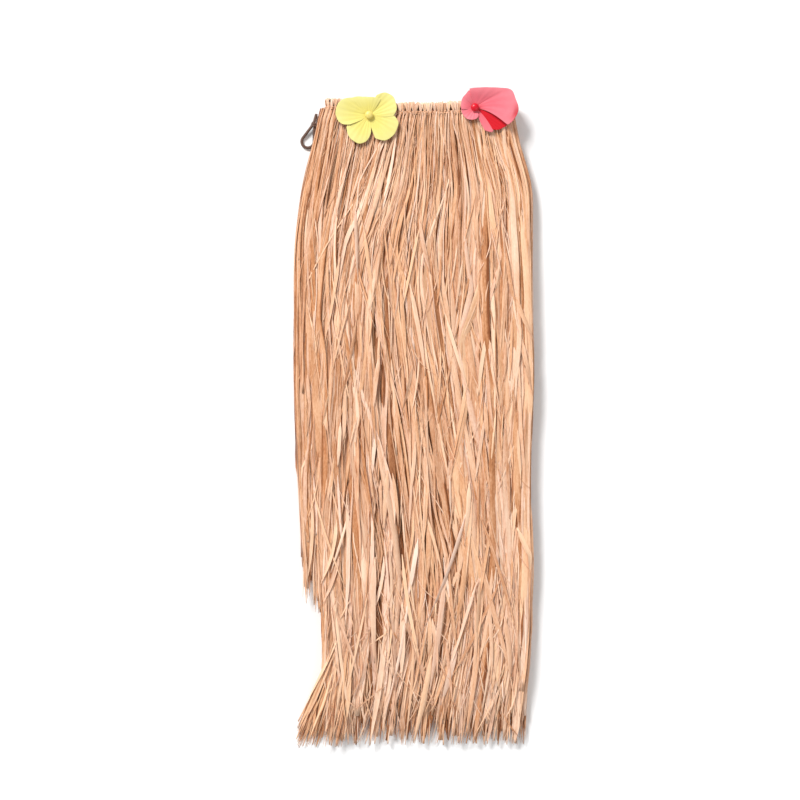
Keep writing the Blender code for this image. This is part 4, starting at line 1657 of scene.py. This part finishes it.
@dataclass
class Hibiscus:
    """A cloth flower of five petals, held by a bead in its middle."""

    name: str
    centre: Vector
    petals: tuple[Petal, ...]
    seed: int
    cloth: float = 0.00028
    columns: int = 37
    rows: int = 17
    root: float = 0.0012  # where the petals start, from the flower's middle
    veins: int = 7
    vein_depth: float = 0.00016
    tilt: float = 0.035
    hidden_cloth: float = 1.12  # roots and overlaps add this much to the petals' outlines

    def petal_points(self, petal: Petal, wobble: np.random.Generator) -> tuple[np.ndarray, np.ndarray]:
        """Work out one petal's grid.

        Args:
            petal: Its shape.
            wobble: Source of its small unevenness.

        Returns:
            The grid's points, and the values of its "petal" attribute.
        """
        bearings, reaches = petal.outline()
        corners = reaches * np.exp(1j * np.radians(bearings))
        along = np.concatenate(([0], np.cumsum(np.abs(np.diff(corners)))))
        even = np.linspace(0, along[-1], self.columns)
        bearing = smoothed(np.interp(even, along, bearings), 2)
        reach = smoothed(np.interp(even, along, reaches), 2)
        u, v = np.meshgrid(np.linspace(0, 1, self.columns), np.linspace(0, 1, self.rows))
        near = (1 - v) ** 1.3
        angle = np.radians(bearing - petal.base[0] * near * (1 - u) + petal.base[1] * near * u)
        uneven = 1 + 0.008 * np.sin(13 * u + wobble.uniform(0, 6))
        radius = self.root + (reach * uneven - self.root) * v
        x = self.centre.x + radius * np.cos(angle)
        y = self.centre.y + radius * np.sin(angle)
        rise = petal.start * (0.35 + 0.65 * v) + petal.lift * ease(v * 1.1)
        rise = rise + petal.ruffle * v**2 * np.sin(8 * u + wobble.uniform(0, 6))
        veins = self.vein_depth * np.cos(math.tau * self.veins * u) * np.sqrt(v) * (1 - 0.5 * v)
        fold = 0.0003 * np.exp(-(((u - 0.5) / 0.08) ** 2)) * (1 - v)
        # painted shade: a deeper colour near the middle where the petals gather, over a shaded petal and
        # under a turned rim
        shade = np.maximum(np.exp(-((v / 0.13) ** 2)) * 0.8, petal.deep)
        if petal.curl is not None:
            turned = np.exp(-(((bearing - petal.curl) / 9) ** 2)) * ease((v - 0.88) / 0.08)
            shade = np.maximum(shade, 0.8 * turned)
            rise = rise - 0.0014 * turned
        settled = 0.0003 * np.abs(2 * u - 1) ** 6 * (petal.start > 0)
        z = self.centre.z + rise + veins - fold - settled - self.tilt * (self.centre.y - y)
        place = bearing / 40 + petal.start * 9000 + 0 * v
        return np.stack([x, y, z], axis=-1), np.stack([place, v, shade], axis=-1)

    def build(self) -> bpy.types.Object:
        """Make the petals as one piece of cloth.

        Returns:
            The petals.
        """
        wobble = np.random.default_rng(self.seed)
        grids, values = zip(*(self.petal_points(petal, wobble) for petal in self.petals))
        number = np.arange(len(grids) * self.rows * self.columns).reshape(-1, self.rows, self.columns)
        corners = (number[:, :-1, :-1], number[:, 1:, :-1], number[:, 1:, 1:], number[:, :-1, 1:])
        quads = np.stack(corners, axis=-1).reshape(-1, 4).tolist()
        flower = link_mesh(self.name + "_flower", np.array(grids), quads)
        add_vectors(flower.data, "petal", np.array(values))
        wall = flower.modifiers.new("cloth", "SOLIDIFY")
        wall.thickness = self.cloth
        wall.offset = 1.0
        soft = flower.modifiers.new("soft", "SUBSURF")
        soft.levels = soft.render_levels = 1
        apply_modifiers(flower)
        return flower

    def flat_area(self) -> float:
        """Work out the area of the petals' cloth laid flat.

        Returns:
            The area in square metres.
        """
        total = 0.0
        for petal in self.petals:
            bearings, reaches = petal.outline()
            squares = reaches**2
            total += float(np.sum(np.diff(np.radians(bearings)) * (squares[1:] + squares[:-1])) / 4)
        return self.hidden_cloth * total

    def build_bead(self, low: Vector, high: Vector) -> bpy.types.Object:
        """Make the bead: a dome with a soft collar, in the place of the construction's own.

        Args:
            low: The lowest corner of that bead's box.
            high: Its highest corner.

        Returns:
            The bead.
        """
        radius, height = (high.x - low.x) / 2, high.z - low.z
        centre = (low + high) / 2
        bpy.ops.object.select_all(action="DESELECT")
        bpy.ops.mesh.primitive_uv_sphere_add(segments=32, ring_count=16, radius=radius)
        bead = bpy.context.object
        bead.name = self.name + "_bead_dome"
        for corner in bead.data.vertices:
            up = corner.co.z / radius
            flare = 1 + 0.10 * math.exp(-((up / 0.25) ** 2))
            corner.co = Vector((corner.co.x * flare, corner.co.y * flare, up * height / 2)) + centre
        bead.data.shade_smooth()
        return bead


@dataclass
class Tie:
    """The drawstring's free end: it leaves the layers, is knotted, and makes a loop and a short tail."""

    exit: Vector
    knot: Vector
    radius: float = 0.0014
    knot_radius: float = 0.0029
    knot_turns: float = 3.4
    loop_radius: float = 0.0060
    loop_reach: float = 0.0172
    loop_root: float = 0.0016
    loop_fall: float = 0.0115
    loop_turn: float = -20.0
    tail_length: float = 0.0080
    tail_turn: float = -8.0
    floor_gap: float = 0.0003

    def turned(self, side: float, ahead: float, degrees: float) -> tuple[float, float]:
        """Turn a place round the knot.

        Args:
            side: Its distance to the right.
            ahead: Its distance towards the waist.
            degrees: How far it is turned.

        Returns:
            The same two distances, turned.
        """
        cos, sin = math.cos(math.radians(degrees)), math.sin(math.radians(degrees))
        return side * cos - ahead * sin, side * sin + ahead * cos

    def loop_outline(self) -> list[tuple[float, float]]:
        """List the loop's middle line seen from above, with the knot at the origin.

        Returns:
            Its points.
        """
        root_back = self.knot_radius + self.floor_gap
        ahead = self.loop_reach - root_back
        away = math.hypot(self.loop_root, ahead)
        opening = math.asin(self.loop_radius / away) - math.atan2(self.loop_root, ahead)
        arc = []
        for i in range(25):
            angle = opening - (math.pi + 2 * opening) * i / 24
            side, back = self.loop_radius * math.cos(angle), self.loop_radius * math.sin(angle)
            arc.append((side, back - self.loop_reach))
        return [(self.loop_root, -root_back), *arc, (-self.loop_root, -root_back)]

    def route(self) -> list[Vector]:
        """List the cord's middle points from the layers' edge to its end.

        Returns:
            The points.
        """
        points = [self.exit, self.exit.lerp(self.knot, 0.5)]
        for side, back in self.loop_outline():
            x, y = self.turned(side, back, self.loop_turn)
            fall = float(ease((-back - self.knot_radius) / self.loop_fall))
            z = self.knot.z + (self.radius + self.floor_gap - self.knot.z) * fall
            points.append(Vector((self.knot.x + x, self.knot.y + y, z)))
        for share in (0.0, 0.35, 0.7, 1.0):
            reach = self.knot_radius + self.tail_length * share
            x, y = self.turned(0.0010 * share, reach, self.tail_turn)
            points.append(self.knot + Vector((x, y, -0.0015 * share)))
        return points

    def curve_points(self) -> np.ndarray:
        """Put the route on one smooth curve.

        Returns:
            Its points, finely and evenly spaced.
        """
        rough = np.array([tuple(point) for point in self.route()])
        along = reached(rough)
        even = np.linspace(0, along[-1], 170)
        return np.stack([smoothed(np.interp(even, along, rough[:, k]), 4) for k in range(3)], axis=1)

    def length(self) -> float:
        """Return the cord's length along its curve."""
        return float(reached(self.curve_points())[-1])

    def build_cord(self) -> bpy.types.Object:
        """Make the cord.

        Returns:
            The cord.
        """
        line = self.curve_points()
        run = unit(np.gradient(line, axis=0))
        side = unit(np.cross(run, UP))
        batch = TubeBatch()
        batch.add(line, side * self.radius, np.cross(side, run) * self.radius, 14, 0.4, 0.0)
        return batch.make("tie_cord")

    def build_knot(self) -> bpy.types.Object:
        """Make the knot: the cord wound round itself.

        Returns:
            The knot.
        """
        steps, cord_radius = 90, 0.00095
        angle = np.linspace(0, self.knot_turns * math.tau, steps)
        radius = self.knot_radius - 0.0010 + 0.0003 * np.cos(angle * 0.5)
        along = np.linspace(-0.0017, 0.0017, steps)
        line = np.stack([radius * np.cos(angle), along, radius * np.sin(angle)], axis=1)
        line = line + np.array(tuple(self.knot))
        side = np.tile(WAISTWARD, (steps, 1))
        up = unit(np.cross(unit(np.gradient(line, axis=0)), side))
        batch = TubeBatch()
        batch.add(line, side * cord_radius, up * cord_radius, 10, 0.4, 0.3)
        return batch.make("tie_knot_wound")


@dataclass
class Studio:
    """Pale floor, soft lights and the camera that looks straight down."""

    pixel: float = 0.000966  # size of one of the photo's pixels at the skirt
    centre_x: float = -0.0132
    centre_y: float = 0.0153
    plane: float = 0.015
    distance: float = 2.4
    picture: int = 800
    sensor: float = 36.0
    room_light: float = 0.42
    paper: float = 0.93
    floor_size: float = 12.0

    def build_floor(self) -> None:
        """Lay the floor."""
        bpy.ops.object.select_all(action="DESELECT")
        bpy.ops.mesh.primitive_plane_add(size=self.floor_size, location=(0, 0, 0))
        floor = bpy.context.object
        floor.name = "studio_floor"
        paper = bpy.data.materials.new("floor_paper")
        paper.use_nodes = True
        shader = paper.node_tree.nodes["Principled BSDF"]
        shader.inputs["Base Color"].default_value = (self.paper, self.paper, self.paper, 1)
        shader.inputs["Roughness"].default_value = 0.9
        shader.inputs["Specular IOR Level"].default_value = 0.1
        floor.data.materials.append(paper)

    def build_lights(self) -> None:
        """Hang two soft boxes and light the room evenly."""
        for name, place, size, power in (
            ("key_box", (-3.2, 4.8, 4.8), 2.3, 670.0),
            ("fill_box", (1.5, -1.0, 2.0), 2.2, 16.0),
        ):
            light = bpy.data.lights.new(name, "AREA")
            light.shape = "SQUARE"
            light.size = size
            light.energy = power
            lamp = bpy.data.objects.new(name, light)
            lamp.location = place
            lamp.rotation_euler = (-Vector(place)).to_track_quat("-Z", "Y").to_euler()
            bpy.context.scene.collection.objects.link(lamp)
        room = bpy.data.worlds.new("studio_room")
        room.use_nodes = True
        background = room.node_tree.nodes["Background"]
        background.inputs["Color"].default_value = (1, 1, 1, 1)
        background.inputs["Strength"].default_value = self.room_light
        bpy.context.scene.world = room

    def build_camera(self) -> None:
        """Hang the camera over the skirt, at the photo's own framing."""
        lens = bpy.data.cameras.new("photo_camera")
        lens.sensor_width = self.sensor
        lens.lens = self.sensor * self.distance / (self.picture * self.pixel)
        lens.clip_end = 20
        camera = bpy.data.objects.new("photo_camera", lens)
        camera.location = (self.centre_x, self.centre_y, self.plane + self.distance)
        bpy.context.scene.collection.objects.link(camera)
        bpy.context.scene.camera = camera
        bpy.context.scene.view_settings.view_transform = "Standard"


@dataclass(frozen=True)
class FlowerKind:
    """One of the two flowers: its petals, its colours and how far it sits from the construction's bead."""

    name: str
    petals: tuple[Petal, ...]
    shift: tuple[float, float]
    colour: Colour
    painted_shade_colour: Colour
    rim: Colour
    bead: Colour
    sink: float = 0.0016  # the petals' middle is this far below the bead
    square: float = 0.070  # side of the square that the petals are cut from

    def build(self, seed: int) -> None:
        """Make the flower and its bead, and report them.

        Args:
            seed: Where its small unevenness starts.
        """
        low, high = (Vector(corner) + Vector((*self.shift, 0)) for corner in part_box(self.name + "_bead"))
        centre = Vector(((low.x + high.x) / 2, (low.y + high.y) / 2, low.z - self.sink))
        flower = Hibiscus(self.name, centre, self.petals, seed)
        cloth = ClothFinish(self.name + "_satin", self.colour, self.painted_shade_colour, self.rim).build()
        piece = flower.build()
        dress(piece, cloth, self.name + "_cloth", self.name + "_petals")
        flower.flat_area()
        plastic = BeadFinish(self.name + "_bead_plastic", self.bead).build()
        dress(flower.build_bead(low, high), plastic, self.name + "_plastic", self.name + "_bead")


YELLOW = FlowerKind(
    name="yellow",
    petals=(
        Petal(((284, 23), (302, 29), (324, 31), (346, 29.5), (362, 23)), start=0.0000, lift=0.0016),
        Petal(((-4, 23), (14, 28), (36, 29.5), (55, 27), (70, 20)), start=0.0003, lift=0.0018),
        Petal(((52, 19.5), (67, 17.9), (88, 17.4), (110, 18.6), (136, 24)), start=0.0006, lift=0.0020),
        Petal(((201, 22), (206, 24.5), (214, 26), (231, 28.8), (251, 29.8), (264, 25.4), (275, 18.5),
               (278, 15.5)), start=0.0008, lift=0.0008),
        Petal(((126, 20.5), (137, 24.7), (148, 29.3), (161, 31.9), (177, 32.9), (191, 30.4), (200, 26.5),
               (207, 20)), start=0.0011, lift=0.0014),
    ),
    shift=(-0.0005, 0.0044),
    colour=(0.77, 0.67, 0.170),
    painted_shade_colour=(0.78, 0.60, 0.11),
    rim=(0.80, 0.75, 0.325),
    bead=(0.86, 0.70, 0.19),
)
RED = FlowerKind(
    name="red",
    petals=(
        Petal(((303, 22), (310, 27.5), (316, 30.5), (320, 32.4), (331, 35.3), (338, 32)), start=0.0,
              lift=0.0, base=(24, 8), ruffle=0.0001, deep=1.0),
        Petal(((100, 17.0), (112, 17.4), (120, 16.1), (133, 15.3), (152, 14.6), (171, 13.8), (188, 13.0)),
              start=0.0004, lift=0.0026),
        Petal(((290, 13), (291.5, 18), (294, 24), (300, 27), (306, 29.0), (309.5, 28.2)), start=0.0006,
              lift=0.0008, base=(0, 16), ruffle=0.0003, deep=0.12),
        Petal(((174, 13.4), (192, 13.2), (215, 13.4), (233, 13.6), (255, 12.2), (279, 11.0), (297, 8.6)),
              start=0.0010, lift=0.0014),
        Petal(((-29.5, 35.6), (-22.5, 38.6), (-9.3, 41.8), (-3.5, 42.5), (1.7, 42), (7.5, 40.2),
               (16.2, 39.4), (24, 40.2), (27.5, 38.8), (37.3, 30.9), (51.6, 23.8), (74.3, 19.2),
               (90, 18.6), (110, 18.8)), start=0.0016, lift=0.0034, base=(-20, 0), curl=-8.0),
    ),
    shift=(0.0006, 0.0030),
    colour=(0.78, 0.145, 0.185),
    painted_shade_colour=(0.62, 0.002, 0.012),
    rim=(0.84, 0.265, 0.30),
    bead=(0.68, 0.004, 0.02),
)


@dataclass
class GrassSkirt:
    """The whole skirt: tie, packed raffia, fringe, waist and flowers."""

    raffia: bpy.types.Material
    cord: bpy.types.Material
    seed: int = 41
    front_cut: tuple[float, float] = (0.232, 0.620)  # width and length of the front layer, laid flat

    def build_tie(self) -> None:
        """Make the drawstring's free end with its knot, and report them."""
        lead_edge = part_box("tie_lead")[1][0]
        low, high = (Vector(corner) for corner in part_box("tie_knot"))
        centre = (low + high) / 2
        tie = Tie(exit=Vector((lead_edge, centre.y, centre.z)), knot=centre)
        cord, knot = tie.build_cord(), tie.build_knot()
        dress(cord, self.cord, "cord", "tie_lead", "tie_loop", "tie_tail")
        dress(knot, self.cord, "cord", "tie_knot")
        path = [tuple(point) for point in tie.curve_points().tolist()]
        tie.length()

    def build_raffia(self) -> None:
        """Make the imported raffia, the fringe and the waist, and report them."""
        form = SkirtForm(waist_y=float(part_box("hidden_layers")[1][1]))
        chance = np.random.default_rng(self.seed)
        core = PackedCore(form).build()
        dress(core, self.raffia, "raffia_inner", "hidden_layers")
        fringe = Fringe(form, Bed(form), chance)
        fringe.build()
        for piece in fringe.pieces:
            hem = piece.name == "raffia_hem"
            slot, node = ("raffia_inner", "hem_fringe") if hem else ("raffia", "front_fringe")
            dress(piece, self.raffia, slot, node)
        band = WaistBand(form, chance)
        heads, twining, drawstring = band.build_heads(), band.build_twining(), band.build_cord()
        dress(heads, self.raffia, "raffia", "front_fringe")
        dress(twining, self.raffia, "raffia", "front_fringe")
        dress(drawstring, self.cord, "cord", "waist_cord")


def main() -> None:
    """Build every piece round the construction and report it."""
    logging.basicConfig(level=logging.INFO, format="%(name)s: %(message)s")
    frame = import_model()
    LOG.info("construction of %d nodes", len(frame["nodes"]))

    studio = Studio()
    studio.build_camera()
    studio.build_lights()
    studio.build_floor()

    cord_finish = CordFinish("tie_cord_twist", dark=(0.045, 0.022, 0.015), pale=(0.21, 0.115, 0.082))
    skirt = GrassSkirt(raffia=RaffiaFinish().build(), cord=cord_finish.build())
    skirt.build_tie()
    skirt.build_raffia()
    for seed, kind in enumerate((YELLOW, RED)):
        kind.build(seed)


if __name__ == "__main__":
    main()
